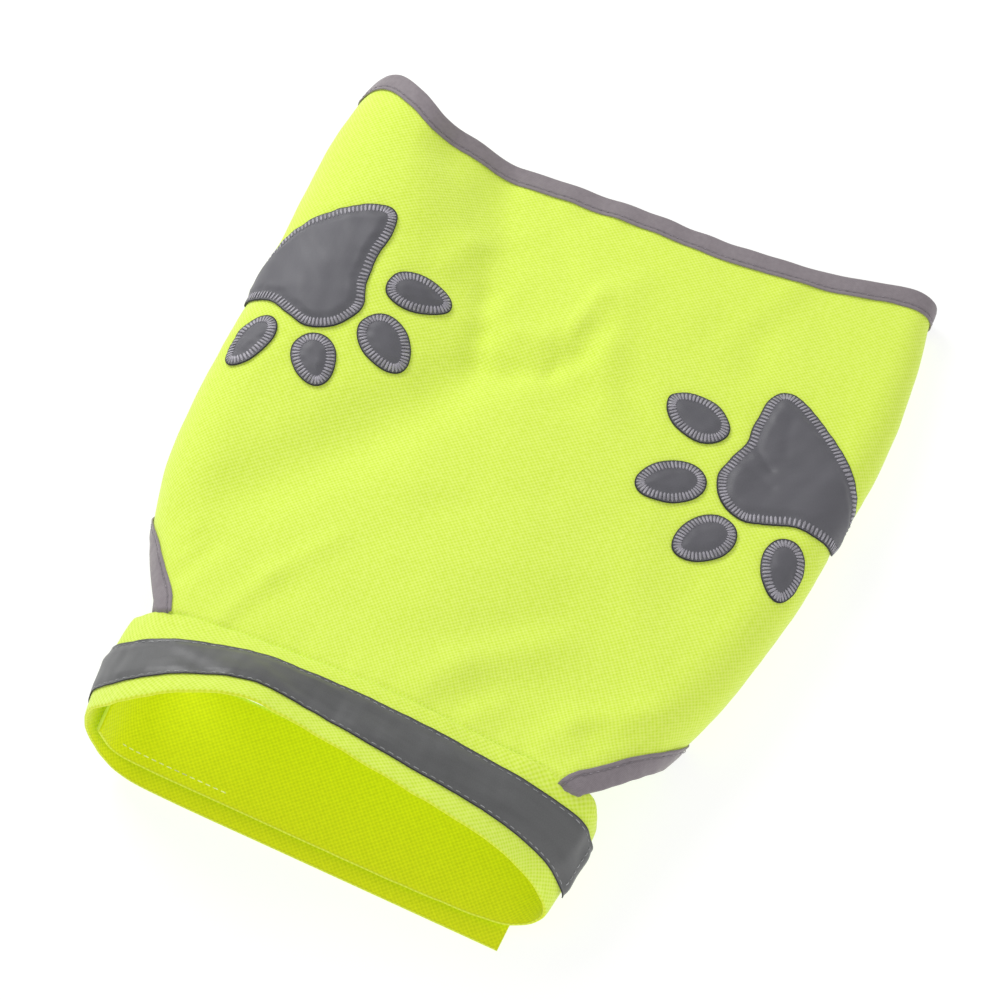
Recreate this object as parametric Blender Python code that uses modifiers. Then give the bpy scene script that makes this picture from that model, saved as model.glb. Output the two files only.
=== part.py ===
"""Reflective dog vest, closed at the neck and belly and lying on its belly.

The body is one panel wrapped into a flattened tube, with a strap collar standing open at the front,
bound armholes and hem, and two paw applique motifs.  Sizes below are in millimetres and are turned
into metres when a mesh is made.  +X is the wearer's side that shows on the right, +Y runs from the
collar to the hem and +Z is up from the surface that the vest lies on.
"""

import math

import bmesh
import bpy
import numpy as np

MM = 0.001
NAME = "dog_hunting_vest"
CENTRE = (0.5, 8.8)  # moves the garment so that its box is centred on the origin

# Cloth and seams
BODY_WALL = 1.2
COLLAR_WALL = 2.0  # the collar cloth is doubled
SEAM_GAP = 0.3
NECK_GAP = 0.7  # between the collar and the panel's neck edge
BINDING_GAP = 0.45
BINDING_WALL = 0.8
BINDING_WIDTH = 10.0
FLOOR_GAP = 0.05
EDGE_LIFT = BINDING_GAP + BINDING_WALL + FLOOR_GAP  # rise of a bound edge, so its binding clears the floor
EDGE_LIFT_FULL = 1.4  # in binding widths from the edge; over the reach after that, the rise fades out
EDGE_LIFT_REACH = 16.0
LOW_PART = 12.0  # only cloth lower than this rises

# Closure under the belly: the inner flap lies over the outer one
FLAP_REACH = 26.0  # each flap runs this far past the middle
FLAP_HEIGHT = 5.1
FLAP_LEVEL = FLAP_REACH + 8.0  # the inner flap is level as far as this from the middle
FLAP_RAMP = 20.0
FASTENER_WALL = 1.5
BELLY_STRIP = dict(x=(-22, 22), y=(-25, 130))
NECK_STRIP = dict(x=(-62, 40), y=(-184, -158))
STRIP_BEVEL = 0.3

# Body panel grid: where each half's side fold starts and ends, as shares of the way round, and the
# columns above it, round it and under it
COLUMNS = dict(side=(-1, 1), fold_from=(0.30, 0.355), fold_to=(0.585, 0.57), top=(13, 15), fold=(14, 13),
               under=(6, 6))
ROWS = 28
ARM_FINE_TO = 0.75  # the armhole bindings have twice the sections as far as this share of the way round
ARM_BINDING_START = 0.012  # past the collar's corner, as a share of the way round
ARM_FIRST_STEP = 0.008
STATION_STEP, SECTION_POINTS = 4.0, 161
TOP_POINTS, TURN_POINTS, UNDER_POINTS = 60, 40, 70
UPPER_FADE = 0.7  # the folds fade out over this share of the side fold's radius, above its middle
SHARP_ANGLE = math.radians(40)

# The tube's sections: y, half widths, height of each side fold, how far its shoulder reaches in from
# the side, height of the middle, and the share of the upper side over which the left roll sinks to it
BODY_SECTIONS = dict(
    y=(-150, -134, -112, -88, -60, -31, 0, 36, 63, 90, 130, 180),
    left=(104, 109, 117.5, 129, 138, 142.3, 144.5, 146, 147.5, 149.5, 152.5, 153),
    right=(104, 110, 118, 127, 136, 142, 147, 150, 152.5, 153.5, 151, 144),
    left_fold=(56, 53, 49, 47, 46, 46, 48, 50, 52, 53, 54, 54),
    right_fold=(48, 46, 42, 39, 37, 35, 33, 31, 29, 27, 23, 20),
    left_shoulder=(27, 27, 27, 27, 28, 29, 32, 38, 42, 42, 37, 30),
    right_shoulder=(27, 26, 24, 22, 21, 20, 19, 18, 17, 16, 14, 12),
    crown=(58, 54.5, 52, 50, 47, 45, 42, 39, 36, 33, 28, 23),
    roll=(1, 1, 1, 1, 1, 1, 0.95, 0.85, 0.75, 0.65, 0.47, 0.33),
)
ROLL_FLAT = 0.9  # the roll is back at its full height over this share of its width

# Where the panel is cut, against the distance round the tube (share of each half, left is negative)
NECK_CUT = dict(
    round=(-0.36, -0.3, -0.2, 0.0, 0.2, 0.3, 0.36),
    y=(-138.5, -136, -133, -130.5, -130, -131.5, -134.5),
)
ARM_CUT = dict(
    round=(0.36, 0.39, 0.42, 0.455, 0.50, 0.56, 0.64, 0.76, 0.88, 1.0),
    y=(-136, -125.5, -113, -100, -89, -79, -70, -62, -57, -56),
)
HEM_CUT = dict(
    round=(-1.0, -0.72, -0.56, -0.45, -0.38, -0.30, -0.16, 0.0, 0.16, 0.30, 0.40, 0.52, 0.72, 1.0),
    y=(163, 163, 162, 161.5, 160.5, 155.5, 156.5, 159.5, 161.5, 168, 176, 177, 171, 164),
)

# Large folds of the upper side: a ridge (or a trough, if the height is negative) from x0, y0 to x1, y1
FOLDS = dict(
    x0=(-118, -90, -62, -4, -8, 20, -77, -58, -76, 17, 36, 24, 50, 2, 78, 92, -98, 65, -114, 76),
    y0=(-75, -38, 15, 56, 74, 112, 80, 82, -128, -122, -96, -114, -101, -92, -116, -104, -116, 24, 146,
        133),
    x1=(-90, -62, -8, 8, 20, 66, -54, -40, -44, 36, 66, 50, 70, 30, 110, 119, -92, 96, -90, 82),
    y1=(-38, 15, 56, 94, 112, 142, 112, 52, -69, -96, -77, -101, -84, -63, -80, -92, -97, -54, 108, 99),
    height=(-5, -6, -6, -6, 5, 5, 4, -3, 4.5, 5, 4.5, -4, -4, 3, 3.5, -3.5, -3, 2.5, -4, -3),
    width=(22, 24, 22, 10, 11, 14, 9, 10, 10, 9, 9, 8, 8, 9, 8, 7, 8, 14, 11, 9),
)

# The collar strap, station by station from its free outer end round to its inner end.
# Front edge and rear edge of its outer face. Where "seam" is set, the rear edge follows the neck cut there.
COLLAR = dict(
    front_x=(92, 40, -10, -60, -86, -99, -104.5, -102, -89, -73, -56, -37, -12, 16, 45, 66, 82, 96, 104.5,
             104.5, 97, 84, 56, 20, -40, -78, -95),
    front_y=(-196, -196, -196, -196, -195.2, -193, -191, -189, -186.5, -180, -172, -165.5, -164.5,
             -166.5, -168.5, -169.5, -170.5, -173, -176, -180, -184, -187, -188.5, -189, -189, -189, -189),
    front_z=(0, 0, 0, 0, 1, 9, 25, 44, 61, 71, 75.5, 75, 68, 63.5, 58.5, 52.5, 44.5, 33, 20,
             11, 6.4, 4.8, 4.5, 4.5, 4.5, 4.8, 9),
    rear_x=(92, 40, -10, -60, -86, -101, -108, -107.5, 0, 0, 0, 0, 0, 0, 0, 0, 0, 105, 110,
            108, 101, 87, 56, 20, -40, -78, -95),
    rear_y=(-148, -148, -148, -148, -147, -146, -144, -141, 0, 0, 0, 0, 0, 0, 0, 0, 0, -133, -136,
            -139, -140, -140.5, -141, -141, -141, -141, -141),
    rear_z=(0, 0, 0, 0, 1, 9, 24, 40, 0, 0, 0, 0, 0, 0, 0, 0, 0, 37, 26,
            13, 7, 4.9, 4.5, 4.5, 4.5, 4.8, 9),
    seam=(None, None, None, None, None, None, None, None, -0.352, -0.29, -0.215, -0.14, -0.05, 0.05, 0.14,
          0.21, 0.28, None, None, None, None, None, None, None, None, None, None),
)
COLLAR_STEPS = 3  # columns between two stations
COLLAR_ROWS = 4
COLLAR_ARCH = 1.6  # the band bows out this much between its edges, fully from this height up
ARCH_FROM, ARCH_OVER = 8.0, 20.0
COLLAR_FASTENER_WALL = 0.8

# Reflective tape on the collar: its edges as shares of the band's width, from its rear edge
TAPE = dict(station=(5, 7, 9, 11, 13, 16, 18.34), rear=(0.32, 0.35, 0.32, 0.25, 0.21, 0.20, 0.20), front=(
    0.82, 0.82, 0.80, 0.78, 0.79, 0.77, 0.79))
TAPE_WALL = 0.6
TAPE_END_RISE = 1.2  # its cut end stands off the band, over its last columns
TAPE_END_COLUMNS = 2

# Paw motifs, on the flattened cloth: distance round from the spine, y and the direction of the toes
PAW_PLACE = dict(side=(-1, 1), round=(125, 124), y=(53.5, 54.5))
PAW_TURN = math.radians(43)  # the toes point forward and inward
PAD_OUTLINE = dict(  # half outline, from the front of the pad to its rear: along the paw, across the paw
    along=(40, 36, 27, 16, 5, -4, -11, -17, -21.5, -23.5),
    across=(0, 12, 18, 23.5, 33.5, 41, 43, 38, 22, 0),
)
TOES = dict(  # of each paw: along the paw, across it, half length, half width, and turn outward in degrees
    left=dict(along=(33, 54.5, 54.5, 34), across=(-42, -20, 12.5, 37.5), half_length=(16, 16, 14, 15),
              half_width=(10, 11, 10, 9.5), turn=(-57, -12, 5, 57)),
    right=dict(along=(31.5, 57.5, 55, 28.5), across=(-43, -15.5, 16, 42), half_length=(16, 16.5, 15.5, 15.5),
               half_width=(11.5, 11, 11, 10), turn=(-57, -12, 5, 57)),
)
APPLIQUE_GAP = 0.7
APPLIQUE_WALL = 0.8
APPLIQUE_PUFF = 0.9
APPLIQUE_RINGS = dict(pad=8, toe=2)
EGG_TAPER = 0.12  # a toe is this much narrower at its tip

COLOURS = dict(  # red, green, blue, roughness
    hi_vis=(0.62, 0.86, 0.03, 0.75),
    binding=(0.25, 0.23, 0.25, 0.6),
    reflective=(0.10, 0.10, 0.105, 0.42),
    fastener=(0.55, 0.74, 0.04, 0.9),
)


def smoothstep(share):
    share = np.clip(share, 0.0, 1.0)
    return share * share * (3.0 - 2.0 * share)


def through(at, known, values):
    """Smooth curve through a short table: cubic Hermite with slopes that never overshoot."""
    known, values = np.asarray(known, float), np.asarray(values, float)
    at = np.clip(np.asarray(at, float), known[0], known[-1])
    step = np.diff(known)
    rise = np.diff(values) / step
    slope = np.concatenate([[rise[0]], (rise[1:] + rise[:-1]) / 2, [rise[-1]]])
    flat = rise[1:] * rise[:-1] <= 0
    slope[1:-1][flat] = 0
    i = np.clip(np.searchsorted(known, at, side="right") - 1, 0, len(step) - 1)
    t = (at - known[i]) / step[i]
    return (
        values[i] * (1 + 2 * t) * (1 - t) ** 2
        + slope[i] * step[i] * t * (1 - t) ** 2
        + values[i + 1] * t * t * (3 - 2 * t)
        + slope[i + 1] * step[i] * t * t * (t - 1)
    )


def spline(rows, steps):
    """Catmull-Rom curve through the rows, with this many steps between two of them."""
    rows = np.asarray(rows, float)
    ends = np.vstack([2 * rows[0] - rows[1], rows, 2 * rows[-1] - rows[-2]])
    found = []
    for i in range(len(rows) - 1):
        a, b, c, d = ends[i : i + 4]
        for t in np.arange(steps) / steps:
            found.append(
                b + 0.5 * t * (c - a + t * (2 * a - 5 * b + 4 * c - d + t * (3 * b - a - 3 * c + d)))
            )
    return np.array(found + [rows[-1]])


# ---------------------------------------------------------------- the body's surface


def fold_height(x, y):
    """Height that the large folds add to the upper side."""
    total = np.zeros(np.broadcast(x, y).shape)
    for x0, y0, x1, y1, height, width in zip(*(FOLDS[key] for key in FOLDS)):
        run = np.array([x1 - x0, y1 - y0], float)
        share = ((x - x0) * run[0] + (y - y0) * run[1]) / max(run @ run, 1e-9)
        share = np.clip(share, 0, 1)
        away = np.hypot(x - x0 - share * run[0], y - y0 - share * run[1])
        total += height * np.exp(-((away / width) ** 2))
    return total


def half_section(y, side):
    """One half of the tube's outline at y, from the spine to the flap's end, as x and z."""
    name = "left" if side < 0 else "right"
    roll = through(y, BODY_SECTIONS["y"], BODY_SECTIONS["roll"]) if side < 0 else 1.0
    width = through(y, BODY_SECTIONS["y"], BODY_SECTIONS[name])
    height = through(y, BODY_SECTIONS["y"], BODY_SECTIONS[name + "_fold"])
    shoulder = through(y, BODY_SECTIONS["y"], BODY_SECTIONS[name + "_shoulder"])
    crown = through(y, BODY_SECTIONS["y"], BODY_SECTIONS["crown"])
    radius = height / 2
    flat = width - shoulder
    top = np.linspace(0, 1, TOP_POINTS)
    rise = smoothstep((1 - (1 - top) / roll) / ROLL_FLAT)
    upper = np.stack([flat * top, crown + (height - crown) * rise], 1)
    turn = np.linspace(0, math.pi, TURN_POINTS)[1:]
    reach = np.where(turn < math.pi / 2, shoulder, radius)
    fold = np.stack([width - reach + reach * np.sin(turn), radius + radius * np.cos(turn)], 1)
    under_x = np.linspace(width - radius, -FLAP_REACH, UNDER_POINTS)[1:]
    under_z = np.zeros_like(under_x)
    if side > 0:
        under_z = FLAP_HEIGHT * smoothstep((FLAP_LEVEL + FLAP_RAMP - under_x) / FLAP_RAMP)
    line = np.vstack([upper, fold, np.stack([under_x, under_z], 1)])
    lift = fold_height(side * line[:, 0], y)
    upper_part = smoothstep((line[:, 1] - radius) / (UPPER_FADE * radius))
    upper_part[TOP_POINTS + TURN_POINTS :] = 0
    line[:, 1] += lift * upper_part
    line[:, 0] *= side
    return line


def section_tables():
    """The tube as a grid of stations and of equal steps round each half, and each half's length."""
    stations = np.arange(BODY_SECTIONS["y"][0], BODY_SECTIONS["y"][-1] + STATION_STEP, STATION_STEP)
    tables, lengths = {}, {}
    for side in (-1, 1):
        rows, sums = [], []
        for y in stations:
            line = half_section(y, side)
            run = np.concatenate([[0], np.cumsum(np.hypot(*np.diff(line, axis=0).T))])
            even = np.linspace(0, run[-1], SECTION_POINTS)
            rows.append(np.stack([np.interp(even, run, line[:, 0]), np.interp(even, run, line[:, 1])], 1))
            sums.append(run[-1])
        tables[side], lengths[side] = np.array(rows), np.array(sums)
    return stations, tables, lengths


STATIONS, SECTIONS, LENGTHS = section_tables()


def half_length(y, side):
    return np.interp(y, STATIONS, LENGTHS[side])


def cut_y(share):
    """Where the panel starts and ends in y, at a share of the way round (left negative)."""
    around = np.abs(share)
    neck = through(share, NECK_CUT["round"], NECK_CUT["y"])
    arm = through(around, ARM_CUT["round"], ARM_CUT["y"])
    front = np.where(around <= ARM_CUT["round"][0], neck, np.maximum(arm, neck))
    return front, through(share, HEM_CUT["round"], HEM_CUT["y"])


def base_point(share, y):
    """Point of the body's outer face at a share of the way round (left negative) and y."""
    share, y = np.broadcast_arrays(np.asarray(share, float), np.asarray(y, float))
    row = np.clip((y - STATIONS[0]) / STATION_STEP, 0, len(STATIONS) - 1.001)
    column = np.clip(np.abs(share), 0, 1) * (SECTION_POINTS - 1)
    column = np.minimum(column, SECTION_POINTS - 1.001)
    i, j = row.astype(int), column.astype(int)
    v, u = (row - i)[..., None], (column - j)[..., None]
    found = np.zeros(share.shape + (2,))
    for side in (-1, 1):
        table = SECTIONS[side]
        here = (
            (table[i, j] * (1 - u) + table[i, j + 1] * u) * (1 - v)
            + (table[i + 1, j] * (1 - u) + table[i + 1, j + 1] * u) * v
        )
        found = np.where((np.sign(share + 1e-12) == side)[..., None], here, found)
    return np.stack([found[..., 0], y, found[..., 1]], -1)


def surface(share, y):
    """The body's outer face, raised along its bound edges where it lies on the floor."""
    point = base_point(share, y)
    front, rear = cut_y(np.asarray(share, float))
    inside = np.minimum(y - front, rear - y) - EDGE_LIFT_FULL * BINDING_WIDTH
    near = 1 - smoothstep(inside / EDGE_LIFT_REACH)
    low = 1 - smoothstep(point[..., 2] / LOW_PART)
    point[..., 2] += EDGE_LIFT * near * low
    return point


def normal(share, y):
    """Unit normal of the outer face, pointing out of the tube."""
    share, y = np.broadcast_arrays(np.asarray(share, float), np.asarray(y, float))
    ds, dy = 0.004, 1.5
    across = surface(np.clip(share + ds, -1, 1), y) - surface(np.clip(share - ds, -1, 1), y)
    along = surface(share, y + dy) - surface(share, y - dy)
    out = np.cross(across, along)
    return out / np.linalg.norm(out, axis=-1, keepdims=True)


# ---------------------------------------------------------------- meshes from grids of points


def keep(name, points, faces, colour):
    """Make an object from points in millimetres."""
    mesh = bpy.data.meshes.new(name)
    shift = np.array([CENTRE[0], CENTRE[1], 0.0])
    mesh.from_pydata([tuple(p) for p in (np.asarray(points) + shift) * MM], [], faces)
    shell = bmesh.new()
    shell.from_mesh(mesh)
    bmesh.ops.recalc_face_normals(shell, faces=shell.faces)
    quads = [face for face in shell.faces if len(face.verts) == 4]
    bmesh.ops.triangulate(shell, faces=quads, quad_method="SHORT_EDGE")
    shell.to_mesh(mesh)
    shell.free()
    mesh.shade_smooth()
    mesh.set_sharp_from_angle(angle=SHARP_ANGLE)
    mesh.materials.append(material(colour))
    thing = bpy.data.objects.new(name, mesh)
    collection.objects.link(thing)
    return thing


def material(kind):
    found = bpy.data.materials.get(kind)
    if found:
        return found
    red, green, blue, rough = COLOURS[kind]
    found = bpy.data.materials.new(kind)
    found.use_nodes = True
    shader = found.node_tree.nodes["Principled BSDF"]
    shader.inputs["Base Color"].default_value = (red, green, blue, 1)
    shader.inputs["Roughness"].default_value = rough
    shader.inputs["Metallic"].default_value = 0.0
    found.diffuse_color = (red, green, blue, 1)
    return found


def shell_faces(rows, columns):
    """Faces of a closed sheet: an outer grid of points, then an inner grid of the same size."""
    count = rows * columns
    faces = []
    for r in range(rows - 1):
        for c in range(columns - 1):
            a = r * columns + c
            quad = (a, a + 1, a + columns + 1, a + columns)
            faces.append(quad)
            faces.append(tuple(count + i for i in reversed(quad)))
    border = [c for c in range(columns)]
    border += [r * columns + columns - 1 for r in range(1, rows)]
    border += [(rows - 1) * columns + c for c in range(columns - 2, -1, -1)]
    border += [r * columns for r in range(rows - 2, 0, -1)]
    for a, b in zip(border, border[1:] + border[:1]):
        faces.append((b, a, count + a, count + b))
    return faces


def sheet(name, outer, inner, colour):
    rows, columns = outer.shape[:2]
    points = np.vstack([outer.reshape(-1, 3), inner.reshape(-1, 3)])
    return keep(name, points, shell_faces(rows, columns), colour)


def bulging(points, quad, out):
    """Two triangles from four points, split so that their shared edge stands out rather than dips in."""
    a, b, c, d = quad
    if ((points[a] + points[c] - points[b] - points[d]) @ out) > 0:
        return [(a, b, c), (a, c, d)]
    return [(a, b, d), (b, c, d)]


def loft(name, sections, outs, colour):
    """Closed strip: one closed outline at each station, with an end face at both ends.

    Where outs are given, they are the directions in which its faces stand out.
    """
    stations, around = sections.shape[:2]
    points = sections.reshape(-1, 3)
    faces = []
    for s in range(stations - 1):
        for i in range(around):
            j = (i + 1) % around
            a = s * around
            quad = (a + i, a + j, a + around + j, a + around + i)
            faces += [quad] if outs is None else bulging(points, quad, outs[s])
    faces.append(tuple(range(around)))
    faces.append(tuple((stations - 1) * around + i for i in reversed(range(around))))
    return keep(name, points, faces, colour)


# ---------------------------------------------------------------- body panel


def column_shares():
    """Columns of the body's grid, close together round the side folds."""
    shares = []
    for side, low, high, top, fold, under in zip(*(COLUMNS[key] for key in COLUMNS)):
        half = np.concatenate(
            [
                np.linspace(0, low, top + 1)[1:],
                np.linspace(low, high, fold + 1)[1:],
                np.linspace(high, 1, under + 1)[1:],
            ]
        )
        shares += list(side * half)
    return np.sort(np.array(shares + [0.0]))


COLUMN_AT = column_shares()


def body_grids():
    """Rows run evenly from the front cut to the hem binding's inner edge, and the last one is the hem."""
    front, rear = cut_y(COLUMN_AT)
    even = np.linspace(0, 1, ROWS - 1)[:, None]
    y = np.vstack([front + (rear - BINDING_WIDTH - front) * even, rear])
    share = np.broadcast_to(COLUMN_AT, y.shape)
    return surface(share, y), normal(share, y)


BODY_OUTER, BODY_NORMAL = body_grids()


def on_body(share, y, out):
    """Point above the built panel's own facets, so that what lies on it never cuts into it."""
    share, y = np.broadcast_arrays(np.asarray(share, float), np.asarray(y, float))
    front, rear = cut_y(share)
    last = rear - BINDING_WIDTH
    row = np.where(y < last, (y - front) / (last - front) * (ROWS - 2), ROWS - 2 + (y - last) / BINDING_WIDTH)
    row = np.clip(row, 0, ROWS - 1)
    column = np.interp(share, COLUMN_AT, np.arange(len(COLUMN_AT)))
    i = np.minimum(row.astype(int), ROWS - 2)
    j = np.minimum(column.astype(int), len(COLUMN_AT) - 2)
    v, u = (row - i)[..., None], (column - j)[..., None]
    a, b = BODY_OUTER[i, j], BODY_OUTER[i, j + 1]
    c, d = BODY_OUTER[i + 1, j + 1], BODY_OUTER[i + 1, j]
    cut_ac = np.where(u > v, a + u * (b - a) + v * (c - b), a + v * (d - a) + u * (c - d))
    cut_bd = np.where(u + v < 1, a + u * (b - a) + v * (d - a), c + (1 - u) * (d - c) + (1 - v) * (b - c))
    short = np.linalg.norm(c - a, axis=-1) <= np.linalg.norm(d - b, axis=-1)
    facet = np.where(short[..., None], cut_ac, cut_bd)
    return facet + normal(share, y) * np.asarray(out, float)[..., None]


def build_body():
    return sheet("body_panel", BODY_OUTER, BODY_OUTER - BODY_NORMAL * BODY_WALL, "hi_vis")


# ---------------------------------------------------------------- bindings


def binding_outline(steps):
    """Folded strip round a raw edge: distance in from the edge, and height above the outer face."""
    near, far = BINDING_GAP, BINDING_GAP + BINDING_WALL
    inside = -BODY_WALL
    deep = [BINDING_WIDTH * k / steps for k in range(steps, 0, -1)]
    outline = [(d, far) for d in deep]
    outline += [(-near, far), (-far, near), (-far, inside - near), (-near, inside - far)]
    outline += [(d, inside - far) for d in reversed(deep)]
    outline += [(d, inside - near) for d in deep]
    outline += [(-near, inside - near), (-near, near)]
    outline += [(d, near) for d in reversed(deep)]
    return outline


def binding(name, shares, ys, inward, steps):
    """Strip round the edge that runs through (share, y), with the panel on the inward side.

    Its width is in this many steps. Only a strip of several steps crosses the panel's own facets.
    """
    sections, outs = [], []
    for share, y, (d_round, d_y) in zip(shares, ys, inward):
        length = half_length(y, -1 if share < 0 else 1)

        def inside(inset, out):
            return on_body(share + inset * d_round / length, y + inset * d_y, out)

        edge, out_of_edge = on_body(share, y, 0.0), normal(share, y)
        into = inside(BINDING_WIDTH / 3, 0.0) - edge
        into -= out_of_edge * (into @ out_of_edge)
        into /= np.linalg.norm(into)
        outs.append(out_of_edge)
        sections.append(
            [
                inside(inset, out) if inset > 0 else edge + into * inset + out_of_edge * out
                for inset, out in binding_outline(steps)
            ]
        )
    return loft(name, np.array(sections), outs if steps > 1 else None, "binding")


def build_hem_binding():
    shares = COLUMN_AT
    _, rear = cut_y(shares)
    return binding("hem_binding", shares, rear, [(0.0, -1.0)] * len(shares), 1)


def build_arm_binding(side):
    start = ARM_CUT["round"][0] + ARM_BINDING_START
    half = np.sort(side * COLUMN_AT[side * COLUMN_AT >= 0])
    around = np.concatenate([[start], half[half > start + ARM_FIRST_STEP]])
    between = (around[1:] + around[:-1]) / 2
    around = np.sort(np.concatenate([around, between[between < ARM_FINE_TO]]))
    shares = side * around
    front, _ = cut_y(shares)
    distance = around * half_length(front, side)
    slope_round, slope_y = np.gradient(distance), np.gradient(front)
    size = np.hypot(slope_round, slope_y)
    inward = np.stack([-side * slope_y / size, slope_round / size], 1)
    name = "armhole_binding_left" if side < 0 else "armhole_binding_right"
    return binding(name, shares, front, inward, 2)


# ---------------------------------------------------------------- collar


def collar_edges():
    """Front and rear edge of the collar's outer face, at each column."""
    front = np.stack([COLLAR["front_x"], COLLAR["front_y"], COLLAR["front_z"]], 1)
    rear = np.stack([COLLAR["rear_x"], COLLAR["rear_y"], COLLAR["rear_z"]], 1).astype(float)
    for i, share in enumerate(COLLAR["seam"]):
        if share is not None:
            cut, _ = cut_y(share)
            rear[i] = surface(share, cut) + (0, -NECK_GAP, (COLLAR_WALL - BODY_WALL) / 2)
    edges = spline(front, COLLAR_STEPS), spline(rear, COLLAR_STEPS)
    for edge in edges:
        edge[:, 2] = np.maximum(edge[:, 2], 0)
    return edges


COLLAR_FRONT, COLLAR_REAR = collar_edges()


def collar_frame():
    """Unit vectors out of the band, at each column."""
    run = np.gradient((COLLAR_FRONT + COLLAR_REAR) / 2, axis=0)
    out = np.cross(run, COLLAR_REAR - COLLAR_FRONT)
    return out / np.linalg.norm(out, axis=-1, keepdims=True)


COLLAR_OUT = collar_frame()


def collar_point(station, across, out=0.0):
    """Point of the band: station in columns, share of the width from the rear edge, height above its face."""
    columns = np.arange(len(COLLAR_FRONT))
    pick = [
        np.stack([np.interp(station, columns, line[:, k]) for k in range(3)], -1)
        for line in (COLLAR_REAR, COLLAR_FRONT, COLLAR_OUT)
    ]
    across = np.asarray(across, float)[..., None]
    lift = COLLAR_ARCH * 4 * across * (1 - across) * smoothstep((pick[0][..., 2:] - ARCH_FROM) / ARCH_OVER)
    return pick[0] * (1 - across) + pick[1] * across + pick[2] * (lift + np.asarray(out, float)[..., None])


def build_collar():
    columns = np.arange(len(COLLAR_FRONT), dtype=float)
    across = np.linspace(0, 1, COLLAR_ROWS + 1)
    station, share = np.meshgrid(columns, across)
    outer = collar_point(station, share)
    inner = collar_point(station, share, np.full(station.shape, -COLLAR_WALL))
    return sheet("collar_band", outer, inner, "hi_vis")


def build_tape():
    first, last = TAPE["station"][0] * COLLAR_STEPS, round(TAPE["station"][-1] * COLLAR_STEPS)
    station, share = np.meshgrid(np.arange(first, last + 1, dtype=float), np.linspace(0, 1, 4))
    rear, front = (through(station / COLLAR_STEPS, TAPE["station"], TAPE[key]) for key in ("rear", "front"))
    across = rear + (front - rear) * share
    height = SEAM_GAP + TAPE_END_RISE * smoothstep((station - last + TAPE_END_COLUMNS) / TAPE_END_COLUMNS)
    return sheet(
        "collar_tape", collar_point(station, across, height + TAPE_WALL),
        collar_point(station, across, height), "reflective",
    )


# ---------------------------------------------------------------- paw appliques


def closed_outline(along, across):
    """Smooth outline, mirrored about the paw's axis, from half of it."""
    half = np.stack([along, across], 1).astype(float)
    whole = np.vstack([half, (half[1:-1] * (1, -1))[::-1]])
    count = len(whole)
    found = []
    for i in range(count):
        a, b, c, d = (whole[(i + k) % count] for k in (-1, 0, 1, 2))
        for t in (0.0, 0.5):
            found.append(
                b + 0.5 * t * (c - a + t * (2 * a - 5 * b + 4 * c - d + t * (3 * b - a - 3 * c + d)))
            )
    return np.array(found)


def egg(half_length_, half_width, turn, count=18):
    angle = np.linspace(0, 2 * math.pi, count, endpoint=False)
    along, across = half_length_ * np.cos(angle), half_width * np.sin(angle)
    across = across * (1 - EGG_TAPER * np.cos(angle))
    c, s = math.cos(turn), math.sin(turn)
    return np.stack([along * c - across * s, along * s + across * c], 1)


def applique(name, outline, centre, side, place_round, place_y, rings):
    """Flat piece of the given outline (along, across), laid on the body and a little puffed."""
    toes = np.array([-math.sin(PAW_TURN), -math.cos(PAW_TURN)])
    outward = np.array([math.cos(PAW_TURN), -math.sin(PAW_TURN)])

    def lay(points, out):
        flat = points[:, :1] * toes + points[:, 1:] * outward
        around, y = place_round + flat[:, 0], place_y + flat[:, 1]
        return on_body(side * around / half_length(y, side), y, out)

    out = normal(side * place_round / half_length(place_y, side), place_y)
    count = len(outline)
    rows = []
    for k in range(rings, 0, -1):
        share = k / rings
        ring = centre + (outline - centre) * share
        rows.append((ring, APPLIQUE_PUFF * (1 - share**2)))
    points = []
    for low in (False, True):
        for ring, puff in rows:
            height = APPLIQUE_GAP if low else APPLIQUE_GAP + APPLIQUE_WALL + puff
            points.append(lay(ring, np.full(count, height)))
        height = APPLIQUE_GAP if low else APPLIQUE_GAP + APPLIQUE_WALL + APPLIQUE_PUFF
        points.append(lay(centre[None, :], np.array([height])))
    points = np.vstack(points)
    step = rings * count + 1
    faces = []
    for base in (0, step):
        for k in range(rings - 1):
            for i in range(count):
                j, a = (i + 1) % count, base + k * count
                faces += bulging(points, (a + i, a + j, a + count + j, a + count + i), out)
        last = base + (rings - 1) * count
        faces += [(last + i, last + (i + 1) % count, base + step - 1) for i in range(count)]
    faces += [(i, (i + 1) % count, step + (i + 1) % count, step + i) for i in range(count)]
    return keep(name, points, faces, "reflective")


def build_paw(side, place_round, place_y):
    word = "left" if side < 0 else "right"
    pad = closed_outline(PAD_OUTLINE["along"], PAD_OUTLINE["across"])
    applique(f"paw_pad_{word}", pad, np.zeros(2), side, place_round, place_y, APPLIQUE_RINGS["pad"])
    toes = TOES[word]
    columns = zip(*(toes[key] for key in toes))
    for number, (along, across, half_long, half_wide, turn) in enumerate(columns, 1):
        middle = np.array([along, across], float)
        outline = middle + egg(half_long, half_wide, math.radians(turn))
        applique(
            f"paw_toe_{word}_{number}", outline, middle, side, place_round, place_y, APPLIQUE_RINGS["toe"]
        )


# ---------------------------------------------------------------- hook and loop


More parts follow.
